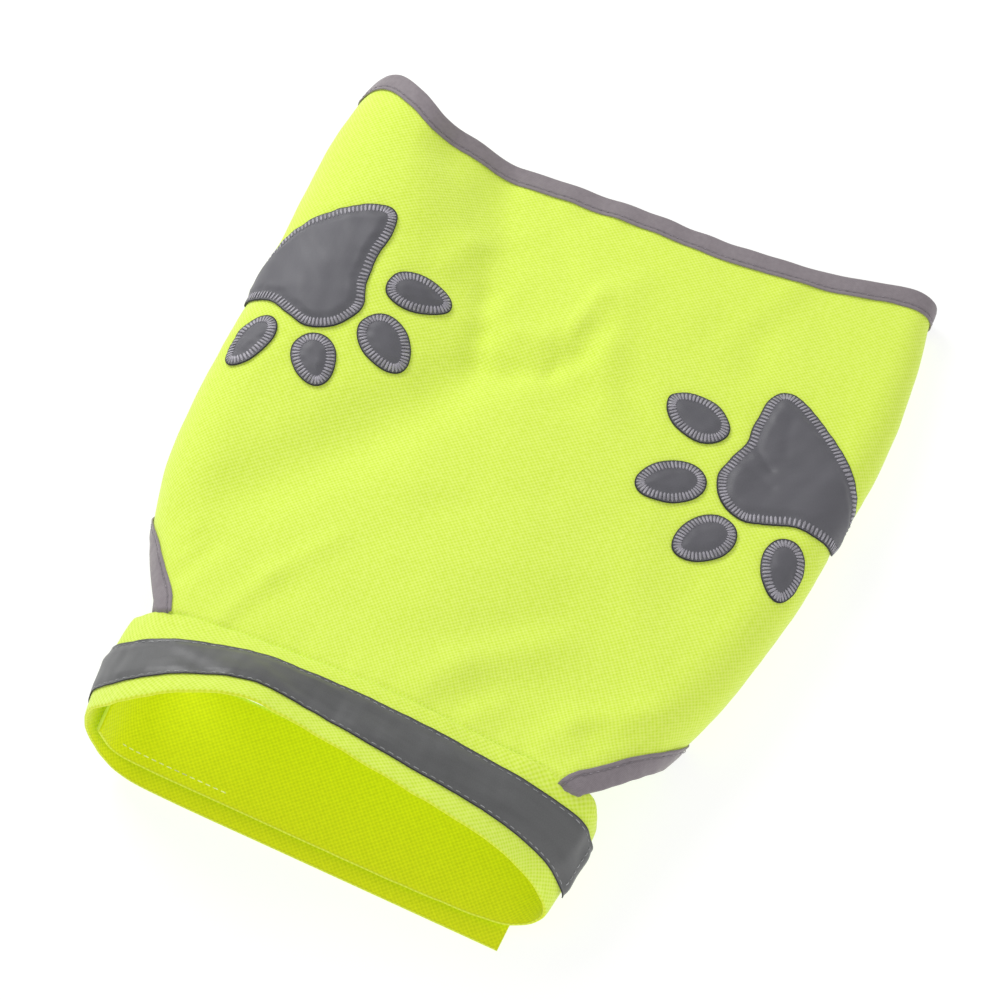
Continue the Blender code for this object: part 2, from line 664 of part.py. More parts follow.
def strip(name, x_range, y_range, z_low, wall):
    """Flat strip of hook or loop tape with softened corners."""
    bpy.ops.mesh.primitive_cube_add(size=1)
    thing = bpy.context.object
    thing.name = thing.data.name = name
    size = (x_range[1] - x_range[0], y_range[1] - y_range[0], wall)
    place = (sum(x_range) / 2 + CENTRE[0], sum(y_range) / 2 + CENTRE[1], z_low + wall / 2)
    for vertex in thing.data.vertices:
        vertex.co = [(vertex.co[k] * size[k] + place[k]) * MM for k in range(3)]
    bevel = thing.modifiers.new("corners", "BEVEL")
    bevel.width, bevel.segments = STRIP_BEVEL * MM, 1
    thing.data.materials.append(material("fastener"))
    for holder in list(thing.users_collection):
        holder.objects.unlink(thing)
    collection.objects.link(thing)
    return thing


def build_fasteners():
    low = BODY_WALL + SEAM_GAP
    strip("belly_loop_strip", BELLY_STRIP["x"], BELLY_STRIP["y"], low, FASTENER_WALL)
    low += FASTENER_WALL + SEAM_GAP
    strip("belly_hook_strip", BELLY_STRIP["x"], BELLY_STRIP["y"], low, FASTENER_WALL)
    low = COLLAR_WALL + SEAM_GAP
    strip("collar_loop_strip", NECK_STRIP["x"], NECK_STRIP["y"], low, COLLAR_FASTENER_WALL)
    low += COLLAR_FASTENER_WALL + SEAM_GAP
    strip("collar_hook_strip", NECK_STRIP["x"], NECK_STRIP["y"], low, COLLAR_FASTENER_WALL)


for leftover in list(bpy.data.objects):
    bpy.data.objects.remove(leftover)
collection = bpy.data.collections.new(NAME)
bpy.context.scene.collection.children.link(collection)

build_body()
build_hem_binding()
build_arm_binding(-1)
build_arm_binding(1)
build_collar()
build_tape()
for paw_side, paw_round, paw_y in zip(*(PAW_PLACE[key] for key in PAW_PLACE)):
    build_paw(paw_side, paw_round, paw_y)
build_fasteners()
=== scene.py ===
"""Looks of a reflective dog vest that lies closed on a plain surface.

Each section makes one piece of the garment: its sizes, its mesh, its material and what it rides on.
Sizes are in millimetres, with the collar towards -Y, the hem towards +Y and the floor at Z = 0.
"""
import math
import bmesh
import bpy
import numpy as np
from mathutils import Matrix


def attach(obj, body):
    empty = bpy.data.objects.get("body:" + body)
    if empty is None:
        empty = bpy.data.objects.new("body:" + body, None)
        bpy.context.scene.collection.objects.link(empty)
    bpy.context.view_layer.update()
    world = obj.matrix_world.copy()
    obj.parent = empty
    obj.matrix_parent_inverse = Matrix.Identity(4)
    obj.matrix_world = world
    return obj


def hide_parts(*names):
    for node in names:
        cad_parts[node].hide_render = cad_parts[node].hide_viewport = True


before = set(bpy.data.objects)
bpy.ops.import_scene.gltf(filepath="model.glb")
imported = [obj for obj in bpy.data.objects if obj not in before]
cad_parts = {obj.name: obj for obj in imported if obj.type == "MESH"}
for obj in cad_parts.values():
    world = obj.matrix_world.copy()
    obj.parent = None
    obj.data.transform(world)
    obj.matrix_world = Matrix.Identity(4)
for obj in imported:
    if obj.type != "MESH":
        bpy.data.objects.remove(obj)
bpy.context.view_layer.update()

# -------- body panel
# One piece of fluorescent polyester with an oxford weave, wrapped into a tube that closes under the
# belly. It lies on its belly: the left side stands as a soft roll, the right side is nearly flat, and
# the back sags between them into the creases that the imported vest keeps.

MM = 0.001
SHIFT = np.array([0.5, 8.8, 0.0])  # the garment's own middle, in the model's frame
CLOTH, HALF_GIRTH, BINDING_WIDTH = 0.9, 312.0, 10.0  # the cloth's thickness, half the chest, the ribbon
# An edge that lies on the table is lifted by its binding: how much, from how far in, over what distance,
# and below what height
EDGE_LIFT, EDGE_LIFT_FROM, EDGE_LIFT_REACH, EDGE_LIFT_BELOW = 1.3, 14.0, 16.0, 12.0
# The right flap's reach past the middle, and the ramp by which it climbs over the left one
FLAP_REACH, FLAP_LEAD, FLAP_HEIGHT, FLAP_RAMP = 26.0, 8.0, 5.1, 20.0
ROLL_FLAT = 0.9
STATION_STEP, SECTION_POINTS, TOP_POINTS, FOLD_POINTS, UNDER_POINTS = 4.0, 321, 60, 40, 70

# The tube's sections: y, half widths, height of each side fold, reach of its shoulder, height of the
# middle, and the share of the upper side over which the left roll sinks to it
BODY_SECTIONS = dict(
    y=(-150, -134, -112, -88, -60, -31, 0, 36, 63, 90, 130, 180),
    left=(104, 109, 117.5, 129, 138, 142.3, 144.5, 146, 147.5, 149.5, 152, 146),
    right=(104, 110, 118, 127, 136, 142, 147, 150, 152.5, 153.5, 151, 144),
    left_fold=(56, 53, 49, 47, 46, 46, 48, 50, 52, 53, 54, 54),
    right_fold=(48, 46, 42, 39, 37, 35, 33, 31, 29, 27, 23, 20),
    left_shoulder=(27, 27, 27, 27, 28, 29, 32, 38, 42, 42, 37, 30),
    right_shoulder=(27, 26, 24, 22, 21, 20, 19, 18, 17, 16, 14, 12),
    crown=(58, 54.5, 52, 50, 47, 45, 42, 39, 36, 33, 28, 23),
    roll=(1, 1, 1, 1, 1, 1, 0.95, 0.85, 0.75, 0.66, 0.51, 0.42),
)
# Its edges: shares of the way round from the spine (left negative), and y there
NECK_CUT = (
    (-0.36, -0.3, -0.2, 0.0, 0.2, 0.3, 0.36), (-138.5, -136, -133, -130.5, -130, -131.5, -134.5),
)
ARM_CUT = (
    (0.36, 0.39, 0.42, 0.455, 0.50, 0.56, 0.64, 0.76, 0.88, 1.0),
    (-136, -125.5, -113, -100, -89, -79, -70, -62, -57, -56),
)
HEM_CUT = (
    (-1.0, -0.72, -0.56, -0.46, -0.40, -0.345, -0.30, -0.26, -0.16, 0.0, 0.16, 0.30, 0.40, 0.52, 0.72, 1.0),
    (163, 163.5, 164, 164.8, 165.8, 159, 153, 154.6, 157.4, 160, 161.5, 168, 176, 177, 171, 164),
)
# Large folds. Each is a ridge, or a trough where its height is negative: x and y of its two ends, then
# height and width.
FOLDS = (
    (-107, -88, -89, -62, -2.4, 17), (-89, -62, -71, -38, -2.7, 18), (-71, -38, -54, -12, -2.8, 18),
    (-54, -12, -39, 18, -3.0, 18), (-39, 18, -30, 38, -3.0, 14), (-30, 38, -14, 45, -2.8, 9),
    (-14, 45, -1, 52, -2.4, 8), (-1, 52, 9, 67, -1.9, 6), (9, 67, 12, 84, -1.4, 6),
    (-52, 97, -43, 77, -2.4, 6), (-43, 77, -37, 57, -2.8, 6), (-37, 57, -33, 44, -2.4, 6),
    (-33, 69, -22, 65, 2.0, 6), (-22, 65, -10, 67, 2.2, 6), (-10, 67, -2, 83, 2.0, 6.5),
    (-2, 83, 3, 102, 1.7, 7), (3, 102, 15, 120, 1.3, 8), (31, 50, 19, 77, 1.2, 8),
    (19, 77, 17, 104, 1.2, 8), (-36, 100, -28, 116, 1.2, 7), (-64, 82, -59, 98, 1.8, 7),
    (-59, 98, -52, 116, 1.8, 7), (74, 128, 80, 150, 1.5, 8), (-70, -132, -61, -100, 1.2, 5),
    (-61, -100, -44, -72, 1.2, 5), (21, -121, 32, -103, 1.5, 8), (32, -103, 62, -74, 1.5, 8),
    (38, -119, 70, -91, -0.9, 8), (43, -128, 53, -112, 1.0, 6), (79, -117, 85, -105, 1.6, 7),
    (85, -105, 115, -84, 1.6, 7), (94, -109, 114, -94, -1.4, 6), (36, 62, 46, 44, -1, 9),
    (-97, -116, -92, -97, -2, 6), (-99, 176, -94, 138, -4.0, 11), (77, 133, 82, 99, -1.2, 8),
    (62, 24, 92, -54, 1, 13), (-12, -38, 26, -10, -0.9, 10), (8, -101, 58, -64, -0.9, 9),
    (14, 40, 30, 56, -1.5, 12),
)
# Small creases on the same pattern
CREASES = (
    (-40, 62, -30, 96, 0.5, 6), (-66, 96, -40, 124, 0.5, 7), (-30, 128, -14, 104, -0.5, 6),
    (60, 118, 52, 92, -0.5, 7), (-20, -70, 22, -56, 0.5, 7), (88, -116, 104, -100, 0.8, 3.5),
    (100, -112, 116, -94, 0.6, 3.5), (-104, -104, -98, -92, -0.7, 3.5), (-60, -118, -46, -100, -0.5, 6),
    (30, -50, 62, -36, 0.5, 8), (-20, 20, 16, 26, 0.4, 6), (44, 10, 84, 22, 0.4, 7),
    (104, -60, 112, -20, 0.5, 7), (-30, -30, 20, -22, 0.4, 6), (10, -10, 52, -2, 0.4, 7),
    (70, -20, 96, -60, 0.4, 9),
)


def ease(share):
    """Smooth step from 0 to 1."""
    share = np.clip(share, 0.0, 1.0)
    return share * share * (3.0 - 2.0 * share)


def catmull_rom(a, b, c, d, t):
    """Smooth curve from b to c, between a and d."""
    return b + 0.5 * t * (c - a + t * (2 * a - 5 * b + 4 * c - d + t * (3 * b - a - 3 * c + d)))


def curve_through(four, steps):
    """Smooth curve with this many steps a row, from the rows before, at and after each (twice)."""
    curve = catmull_rom(*(rows[:, None, :] for rows in four), (np.arange(steps) / steps)[None, :, None])
    return curve.reshape(-1, curve.shape[-1])


def follow(at, known, rows):
    """Points at places along a line of rows, whose own places are known."""
    return np.stack([np.interp(at, known, column) for column in rows.T], -1)


def round_loop(share, rows):
    """Points at shares of the way through a line's rows."""
    return follow(share * (len(rows) - 1), np.arange(len(rows)), rows)


def run_along(rows):
    """Distance along a line of rows, at each of them."""
    return np.concatenate([[0], np.cumsum(np.linalg.norm(np.diff(rows, axis=0), axis=1))])


def through(at, known, values):
    """Smooth curve through a short table: cubic Hermite with slopes that never overshoot."""
    known, values = np.asarray(known, float), np.asarray(values, float)
    at = np.clip(np.asarray(at, float), known[0], known[-1])
    step = np.diff(known)
    rise = np.diff(values) / step
    slope = np.concatenate([[rise[0]], (rise[1:] + rise[:-1]) / 2, [rise[-1]]])
    slope[1:-1][rise[1:] * rise[:-1] <= 0] = 0
    i = np.clip(np.searchsorted(known, at, side="right") - 1, 0, len(step) - 1)
    t = (at - known[i]) / step[i]
    return (
        values[i] * (1 + 2 * t) * (1 - t) ** 2
        + slope[i] * step[i] * t * (1 - t) ** 2
        + values[i + 1] * t * t * (3 - 2 * t)
        + slope[i + 1] * step[i] * t * t * (t - 1)
    )


def ridges(table, x, y):
    """Height of a table's ridges and troughs at x, y."""
    total = np.zeros(np.broadcast(x, y).shape)
    for x0, y0, x1, y1, height, width in table:
        run = np.array([x1 - x0, y1 - y0], float)
        share = np.clip(((x - x0) * run[0] + (y - y0) * run[1]) / (run @ run), 0, 1)
        away = np.hypot(x - x0 - share * run[0], y - y0 - share * run[1])
        total += height * np.exp(-((away / width) ** 2))
    return total


def half_section(y, side):
    """One half of the tube's outline at y, from the spine to the flap's end, as x and z."""
    name = "left" if side < 0 else "right"
    width, height, shoulder, crown, roll = (
        through(y, BODY_SECTIONS["y"], BODY_SECTIONS[key])
        for key in (name, name + "_fold", name + "_shoulder", "crown", "roll")
    )
    roll = roll if side < 0 else 1.0
    radius = height / 2
    top = np.linspace(0, 1, TOP_POINTS)
    rise = ease((1 - (1 - top) / roll) / ROLL_FLAT)
    upper = np.stack([(width - shoulder) * top, crown + (height - crown) * rise], 1)
    turn = np.linspace(0, math.pi, FOLD_POINTS)[1:]
    reach = np.where(turn < math.pi / 2, shoulder, radius)
    fold = np.stack([width - reach + reach * np.sin(turn), radius + radius * np.cos(turn)], 1)
    under_x = np.linspace(width - radius, -FLAP_REACH, UNDER_POINTS)[1:]
    under_z = np.zeros_like(under_x)
    if side > 0:
        under_z = FLAP_HEIGHT * ease((FLAP_REACH + FLAP_LEAD + FLAP_RAMP - under_x) / FLAP_RAMP)
    line = np.vstack([upper, fold, np.stack([under_x, under_z], 1)])
    above = np.arange(len(line)) < len(upper) + len(fold)
    upper_part = ease((line[:, 1] - radius) / (0.7 * radius)) * above
    line[:, 1] += ridges(FOLDS, side * line[:, 0], y) * upper_part
    line[:, 0] *= side
    return line


STATIONS = np.arange(BODY_SECTIONS["y"][0], BODY_SECTIONS["y"][-1] + STATION_STEP, STATION_STEP)
SECTIONS, LENGTHS = {-1: [], 1: []}, {-1: [], 1: []}
for side in (-1, 1):
    for station in STATIONS:
        outline = half_section(station, side)
        run = run_along(outline)
        SECTIONS[side].append(follow(np.linspace(0, run[-1], SECTION_POINTS), run, outline))
        LENGTHS[side].append(run[-1])
SECTIONS = {side: np.array(rows) for side, rows in SECTIONS.items()}


def half_length(y, side):
    return np.interp(y, STATIONS, LENGTHS[side])


def cut_y(share):
    """Where the panel starts and ends in y, at a share of the way round."""
    away = np.abs(share)
    neck, arm = through(share, *NECK_CUT), through(away, *ARM_CUT)
    front = np.where(away <= ARM_CUT[0][0], neck, np.maximum(arm, neck))
    return front, through(share, *HEM_CUT)


def base_point(share, y):
    """Point of the panel without its small creases, at a share of the way round and y."""
    share, y = np.broadcast_arrays(np.asarray(share, float), np.asarray(y, float))
    row = np.clip((y - STATIONS[0]) / STATION_STEP, 0, len(STATIONS) - 1.001)
    column = np.minimum(np.clip(np.abs(share), 0, 1) * (SECTION_POINTS - 1), SECTION_POINTS - 1.001)
    i, j = row.astype(int), column.astype(int)
    t, u = (row - i)[..., None], (column - j)[..., None]
    before, after = np.maximum(i - 1, 0), np.minimum(i + 2, len(STATIONS) - 1)
    found = np.zeros(share.shape + (2,))
    for side in (-1, 1):
        table = SECTIONS[side]
        rows = (table[k, j] * (1 - u) + table[k, j + 1] * u for k in (before, i, i + 1, after))
        here = catmull_rom(*rows, t)
        found = np.where((np.sign(share + 1e-12) == side)[..., None], here, found)
    point = np.stack([found[..., 0], y, found[..., 1]], -1)
    front, rear = cut_y(share)
    near = 1 - ease((np.minimum(y - front, rear - y) - EDGE_LIFT_FROM) / EDGE_LIFT_REACH)
    point[..., 2] += EDGE_LIFT * near * (1 - ease(point[..., 2] / EDGE_LIFT_BELOW))
    return point


def unit_normal(at, share, y):
    """Unit normal of the surface at(share, y), pointing out of the tube."""
    step_round, step_y = 0.002, 0.6
    across = at(np.clip(share + step_round, -1, 1), y) - at(np.clip(share - step_round, -1, 1), y)
    out = np.cross(across, at(share, y + step_y) - at(share, y - step_y))
    return out / np.linalg.norm(out, axis=-1, keepdims=True)


def wander(a, b, seed, size):
    """Smooth uneven field between about -1 and 1, whose bumps are this size."""
    total = np.zeros(np.broadcast(a, b).shape)
    for k in range(5):
        angle = 2.4 * k + seed
        wave = 2 * math.pi / (size * (1 + 0.31 * k))
        total += np.sin(wave * (a * math.cos(angle) + b * math.sin(angle)) + 1.7 * k * seed)
    return total / 2.6


# Paw motifs, on the flat cloth: distance round from the spine, y, direction of the toes, outlines
PAW_PLACE = dict(side=(-1, 1), round=(125, 124), y=(53.5, 54.5))
PAW_TURN = math.radians(43)
PAD_OUTLINE = dict(
    along=(40, 36, 27, 16, 5, -4, -11, -17, -21.5, -23.5), across=(0, 12, 18, 23.5, 33.5, 41, 43, 38, 22, 0),
)
TOES = dict(
    left=dict(along=(33, 54.5, 54.5, 34), across=(-42, -20, 12.5, 37.5), long=(16, 16, 14, 15),
              wide=(10, 11, 10, 9.5), turn=(-57, -12, 5, 57)),
    right=dict(along=(31.5, 57.5, 55, 28.5), across=(-43, -15.5, 16, 42), long=(16, 16.5, 15.5, 15.5),
               wide=(11.5, 11, 11, 10), turn=(-57, -12, 5, 57)),
)


def paw_outlines(toes):
    """Each piece of a paw: its name's end, its outline and its middle, as along and across."""
    half = np.stack([PAD_OUTLINE["along"], PAD_OUTLINE["across"]], 1).astype(float)
    whole = np.vstack([half, (half[1:-1] * (1, -1))[::-1]])
    pad = curve_through((np.roll(whole, k, axis=0) for k in (1, 0, -1, -2)), 12)
    found = [("pad", pad, np.zeros(2))]
    angle = np.linspace(0, 2 * math.pi, 120, endpoint=False)
    for number, (along, across, long, wide, turn) in enumerate(zip(*toes.values()), 1):
        shape = np.stack([long * np.cos(angle), wide * np.sin(angle) * (1 - 0.12 * np.cos(angle))], 1)
        c, s = math.cos(math.radians(turn)), math.sin(math.radians(turn))
        middle = np.array([along, across], float)
        found.append((f"toe_{number}", middle + shape @ np.array([[c, s], [-s, c]]), middle))
    return found


PAWS = {-1: paw_outlines(TOES["left"]), 1: paw_outlines(TOES["right"])}
TOE_WAY = np.array([-math.sin(PAW_TURN), -math.cos(PAW_TURN)])
ACROSS_WAY = np.array([math.cos(PAW_TURN), -math.sin(PAW_TURN)])


def motif_distance(around, y, side):
    """Distance from the nearest motif edge, negative inside."""
    k = 0 if side < 0 else 1
    flat = np.stack([around - PAW_PLACE["round"][k], y - PAW_PLACE["y"][k]], -1)
    place = np.stack([flat @ TOE_WAY, flat @ ACROSS_WAY], -1)
    nearest = np.full(around.shape, 60.0)
    for _, outline, middle in PAWS[side]:
        close = np.hypot(*(place - middle).T).T < 75
        if close.any():
            rim = outline[::4]
            away = np.linalg.norm(place[close][:, None, :] - rim[None], axis=-1)
            pick = rim[away.argmin(1)]
            inside = ((place[close] - pick) * (pick - middle)).sum(1) < 0
            away = np.where(inside, -1, 1) * away.min(1)
            nearest[close] = np.where(np.abs(away) < np.abs(nearest[close]), away, nearest[close])
    return nearest


# Soft unevenness of the cloth and puckers beside its edges: height, size of the waves, and how far the
# puckers run in from the edge
WIDE_WAVES, SMALL_WAVES = (0.32, 34.0), (0.10, 13.0)
HEM_PUCKER, ARM_PUCKER, NECK_PUCKER = (0.34, 11.0, 9.0), (0.25, 9.0, 8.0), (0.4, 10.0, 9.0)
MOTIF_DENT, MOTIF_DENT_REACH, MOTIF_WAVES, MOTIF_WAVES_REACH = 0.45, 3.0, (0.30, 8.0), 7.0


def pucker(kind, inward, a, b, seed):
    height, size, reach = kind
    return height * np.exp(-np.maximum(inward, 0) / reach) * wander(a, b, seed, size)


def crease_height(share, y):
    """Small creases of the panel: listed ones, puckers along seams and dents at the motifs."""
    point = base_point(share, y)
    x = point[..., 0]
    front, rear = cut_y(share)
    upper = ease((point[..., 2] - 12) / 14.0) * (np.abs(share) < 0.52)
    total = ridges(CREASES, x, y) * upper
    around = share * half_length(y, 1)
    total += WIDE_WAVES[0] * wander(around, y, 1.3, WIDE_WAVES[1]) * (0.35 + 0.65 * upper)
    total += SMALL_WAVES[0] * wander(around, y, 4.1, SMALL_WAVES[1])
    total += pucker(HEM_PUCKER, rear - BINDING_WIDTH - y, around, y * 0.25, 2.2)
    arm = pucker(ARM_PUCKER, y - front - BINDING_WIDTH, around + 0.6 * y, y * 0.2, 0.7)
    total += arm * upper * (np.abs(share) > 0.33)
    total += pucker(NECK_PUCKER, y - front, around, y * 0.2, 3.4) * (np.abs(share) < 0.36)
    for side in (-1, 1):
        here = (np.sign(share + 1e-12) == side) & (np.abs(y - 45) < 95) & (np.abs(share) < 0.7)
        if here.any():
            away = motif_distance(np.abs(share[here]) * half_length(y[here], side), y[here], side)
            waves = MOTIF_WAVES[0] * wander(around[here], y[here], 5.0, MOTIF_WAVES[1])
            total[here] -= MOTIF_DENT * np.exp(-((away / MOTIF_DENT_REACH) ** 2))
            total[here] += waves * np.exp(-np.abs(away) / MOTIF_WAVES_REACH)
    return total


# Past the neck seam the cloth sinks, and runs on under the strap by SEAM_TUCK. It sinks further at the
# strap's two corners, which lie between these shares of the way round.
SEAM_TUCK, SEAM_SINK, SEAM_EARLY, SEAM_TURN = 4.5, 1.7, 1.2, 2.2
SIDE_FROM, SIDE_TO, SIDE_RAMP, SIDE_SINK, SIDE_TURN = 0.29, 0.42, 0.02, 4.0, 1.6


def seam_sink(share, y):
    """How far the cloth lies below its own face where it runs on under the collar."""
    past = through(share, *NECK_CUT) - y
    away = np.abs(share)
    sink = SEAM_SINK * ease((past + SEAM_EARLY) / SEAM_TURN)
    side_part = ease((past + SIDE_TURN / 2) / SIDE_TURN) * ease((away - SIDE_FROM) / SIDE_RAMP)
    return (sink + SIDE_SINK * side_part) * (away < SIDE_TO)


def cloth_point(share, y, out=0.0):
    """Point of the creased panel, moved out from its face."""
    share, y = np.broadcast_arrays(np.asarray(share, float), np.asarray(y, float))
    lift = (crease_height(share, y) + np.asarray(out, float) - seam_sink(share, y))[..., None]
    return base_point(share, y) + unit_normal(base_point, share, y) * lift


def new_object(name, data):
    made = bpy.data.objects.new(name, data)
    bpy.context.scene.collection.objects.link(made)
    return made


def finish_mesh(name, mesh, material, nodes=()):
    """Object at the origin that rides on the vest, in place of the solids named."""
    mesh.shade_smooth()
    mesh.materials.append(material)
    piece = new_object(name, mesh)
    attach(piece, "root")
    if nodes:
        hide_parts(*nodes)
    return piece


def weld_mesh(mesh, weld, closed=True):
    """Weld edges that meet, and turn the faces outwards, or up where the sheet stays open.

    A closed shell also has a face put over each open end.
    """
    shell = bmesh.new()
    shell.from_mesh(mesh)
    bmesh.ops.remove_doubles(shell, verts=shell.verts, dist=weld * MM)
    if closed:
        bmesh.ops.holes_fill(shell, edges=[edge for edge in shell.edges if edge.is_boundary])
        bmesh.ops.recalc_face_normals(shell, faces=shell.faces)
        inside_out = shell.calc_volume(signed=True) < 0
    else:
        shell.normal_update()
        inside_out = sum(face.normal.z for face in shell.faces) < 0
    if inside_out:
        bmesh.ops.reverse_faces(shell, faces=shell.faces)
    shell.to_mesh(mesh)
    shell.free()


def laid_grid(name, columns, rows, place, closed=False, flip=False):
    """Mesh of a flat grid whose points go where place() says, with the cut cloth's own size as its UV.

    place(u, v) gives points in millimetres and their place on the cut cloth. A closed grid meets itself in v
    and has a face at both ends.
    """
    grid = bmesh.new()
    bmesh.ops.create_grid(grid, x_segments=columns, y_segments=rows, size=0.5)
    mesh = bpy.data.meshes.new(name)
    grid.to_mesh(mesh)
    grid.free()
    flat = np.empty(len(mesh.vertices) * 3)
    mesh.vertices.foreach_get("co", flat)
    flat = flat.reshape(-1, 3)[:, :2] + 0.5
    points, cloth = place(flat[:, 0], flat[:, 1])
    mesh.vertices.foreach_set("co", ((points + SHIFT) * MM).ravel())
    corners = np.empty(len(mesh.loops), int)
    mesh.loops.foreach_get("vertex_index", corners)
    mesh.uv_layers.new(name="cloth").data.foreach_set("uv", (cloth[corners] * MM).ravel())
    if closed:
        weld_mesh(mesh, 0.01)
    elif flip:
        mesh.flip_normals()
    return mesh


def thicken(piece, wall, edge_shadow_paint=None):
    """Give a laid sheet its wall, inwards from the face that was laid, and a painted shadow on its rim faces.
    """
    wall_maker = piece.modifiers.new("wall", "SOLIDIFY")
    wall_maker.thickness = wall * MM
    wall_maker.offset = -1.0
    if edge_shadow_paint:
        piece.data.materials.append(edge_shadow_paint)
        wall_maker.material_offset_rim = 1


def feed(tree, node, **sockets):
    """Set a node's sockets, by name or number, to values or to the outputs that feed them."""
    for key, value in sockets.items():
        socket = node.inputs[int(key[1:])] if key[0] == "_" else node.inputs[key.replace("_", " ")]
        if isinstance(value, bpy.types.NodeSocket):
            tree.links.new(value, socket)
        else:
            socket.default_value = value


def add(tree, kind, settings=None, **sockets):
    """Shader node of this kind, with its settings and sockets."""
    made = tree.nodes.new("ShaderNode" + kind)
    for key, value in (settings or {}).items():
        setattr(made, key, value)
    feed(tree, made, **sockets)
    return made


def maths(tree, operation, *values):
    numbered = {f"_{k}": value for k, value in enumerate(values)}
    return add(tree, "Math", {"operation": operation}, **numbered).outputs[0]


def ramp(tree, value, low, high, first=0.0, last=1.0, kind="LINEAR"):
    """Value that goes from first to last as the given one goes from low to high."""
    return add(tree, "MapRange", {"interpolation_type": kind}, Value=value, From_Min=low,
               From_Max=high, To_Min=first, To_Max=last).outputs[0]


def noise(tree, place, scale, detail, rough=0.5, kind="2D"):
    return add(tree, "TexNoise", {"noise_dimensions": kind}, Vector=place, Scale=scale,
               Detail=detail, Roughness=rough).outputs["Fac"]


def raised(tree, height, strength, distance):
    """Normal that follows a height."""
    return add(tree, "Bump", None, Strength=strength, Distance=distance, Height=height).outputs[0]


def blend(tree, share, low, high):
    """Colour between two, each given as a value or as the output that feeds it."""
    ends = [end if isinstance(end, bpy.types.NodeSocket) else (*end, 1.0) for end in (low, high)]
    return add(tree, "Mix", {"data_type": "RGBA"}, _0=share, _6=ends[0], _7=ends[1]).outputs[2]


def new_material(name):
    made = bpy.data.materials.new(name)
    made.use_nodes = True
    return made, made.node_tree, made.node_tree.nodes["Principled BSDF"]


def from_line(tree, cloth, line):
    """Distance from a line along the cut cloth, which lies this many millimetres across it."""
    across = add(tree, "SeparateXYZ", _0=cloth).outputs["Y"]
    return maths(tree, "ABSOLUTE", maths(tree, "SUBTRACT", across, line * MM))


def build_weave():
    """Oxford weave: raised dots in staggered rows, uneven from yarn to yarn, and the gaps between them."""
    group = bpy.data.node_groups.new("oxford_weave", "ShaderNodeTree")
    for label, way, kind in (("Cloth", "INPUT", "Vector"), ("Pitch", "INPUT", "Float"),
                             ("Height", "OUTPUT", "Float"), ("Yarn", "OUTPUT", "Float")):
        group.interface.new_socket(label, in_out=way, socket_type="NodeSocket" + kind)
    given, result = group.nodes.new("NodeGroupInput"), group.nodes.new("NodeGroupOutput")
    cloth = given.outputs["Cloth"]
    parts = add(group, "SeparateXYZ", _0=cloth)
    turn = maths(group, "DIVIDE", 2 * math.pi, given.outputs["Pitch"])
    waves = (maths(group, "SINE", maths(group, "MULTIPLY", parts.outputs[axis], turn)) for axis in "XY")
    uneven = maths(group, "MULTIPLY_ADD", noise(group, cloth, 420.0, 2.0, 0.6), 0.7, 0.15)
    height = maths(group, "MULTIPLY_ADD", maths(group, "MULTIPLY", *waves), 0.5, uneven)
    feed(group, result, Height=height, Yarn=ramp(group, height, 0.0, 1.0))
    return group


WEAVE = build_weave()
SHADED_INSIDE_GLOW = 0.25  # painted shade: the strap's inner face glows at this share of its colour, as if less light reached it


def cloth_material(
    name, light, deep, pitch, depth, rough, sheen, glow, patch=0.06, seam_shade_line=None, inside=None,
):
    """Woven cloth: light on raised yarns, painted shade deep in the gaps, a little uneven from patch to
    patch.

    seam_shade_line is the place across the piece of a sewn row, darkened there as painted shade. inside gives
    the two colours of a strap's inner face, deeper and more saturated as painted shade, whose middle is at
    STRAP_INNER_MIDDLE across the pattern.
    """
    made, tree, shader = new_material(name)
    cloth = add(tree, "UVMap", {"uv_map": "cloth"}).outputs[0]
    weave = add(tree, "Group", {"node_tree": WEAVE}, Cloth=cloth, Pitch=pitch)
    patches = maths(tree, "MULTIPLY_ADD", noise(tree, cloth, 26.0, 3.0), patch * 2, -patch)
    share = maths(tree, "ADD", weave.outputs["Yarn"], patches)
    share.node.use_clamp = True
    # painted shade: the colour goes deep where the weave lies low, between the yarns
    colour = blend(tree, share, deep, light)
    # painted shade: the strap's inner face takes deeper, more saturated colours and a weaker glow
    if inside:
        inner = ramp(tree, from_line(tree, cloth, STRAP_INNER_MIDDLE), *STRAP_INNER_REACH, 1.0, 0.0)
        colour = blend(tree, inner, colour, blend(tree, share, *inside))
        lit = blend(tree, inner, colour, tuple(SHADED_INSIDE_GLOW * c for c in inside[1]))
    # painted shade: the colour darkens along the sewn row, where the seam draws the ribbon into a groove
    if seam_shade_line:
        near = ramp(tree, from_line(tree, cloth, seam_shade_line), 0.0002, 0.0009, 0.4, 0.0, "SMOOTHSTEP")
        colour = blend(tree, near, colour, tuple(0.4 * c for c in deep))
    feed(tree, shader, Base_Color=colour, Normal=raised(tree, weave.outputs["Height"], 1.0, depth),
         Roughness=rough, Specular_IOR_Level=0.25, Sheen_Weight=sheen, Sheen_Roughness=0.45,
         Sheen_Tint=(1.0, 1.0, 0.9, 1.0))
    # painted light: an even glow lifts the cloth out of its shade, standing in for the dye's fluorescence
    if glow:
        feed(tree, shader, Emission_Color=lit if inside else colour, Emission_Strength=glow)
    return made


# The hi-vis cloth glows a little: painted light standing in for its fluorescence.
HI_VIS = cloth_material("hi_vis_cloth", (0.76, 0.91, 0.165), (0.61, 0.80, 0.05), 0.0021, 0.00012, 0.75,
                        0.30, 0.17)

BODY_COLUMNS, BODY_ROWS = 300, 140
FOLD_FROM, FOLD_TO, FOLD_FINE = 0.30, 0.58, 1.7  # columns stand closer together round the side folds

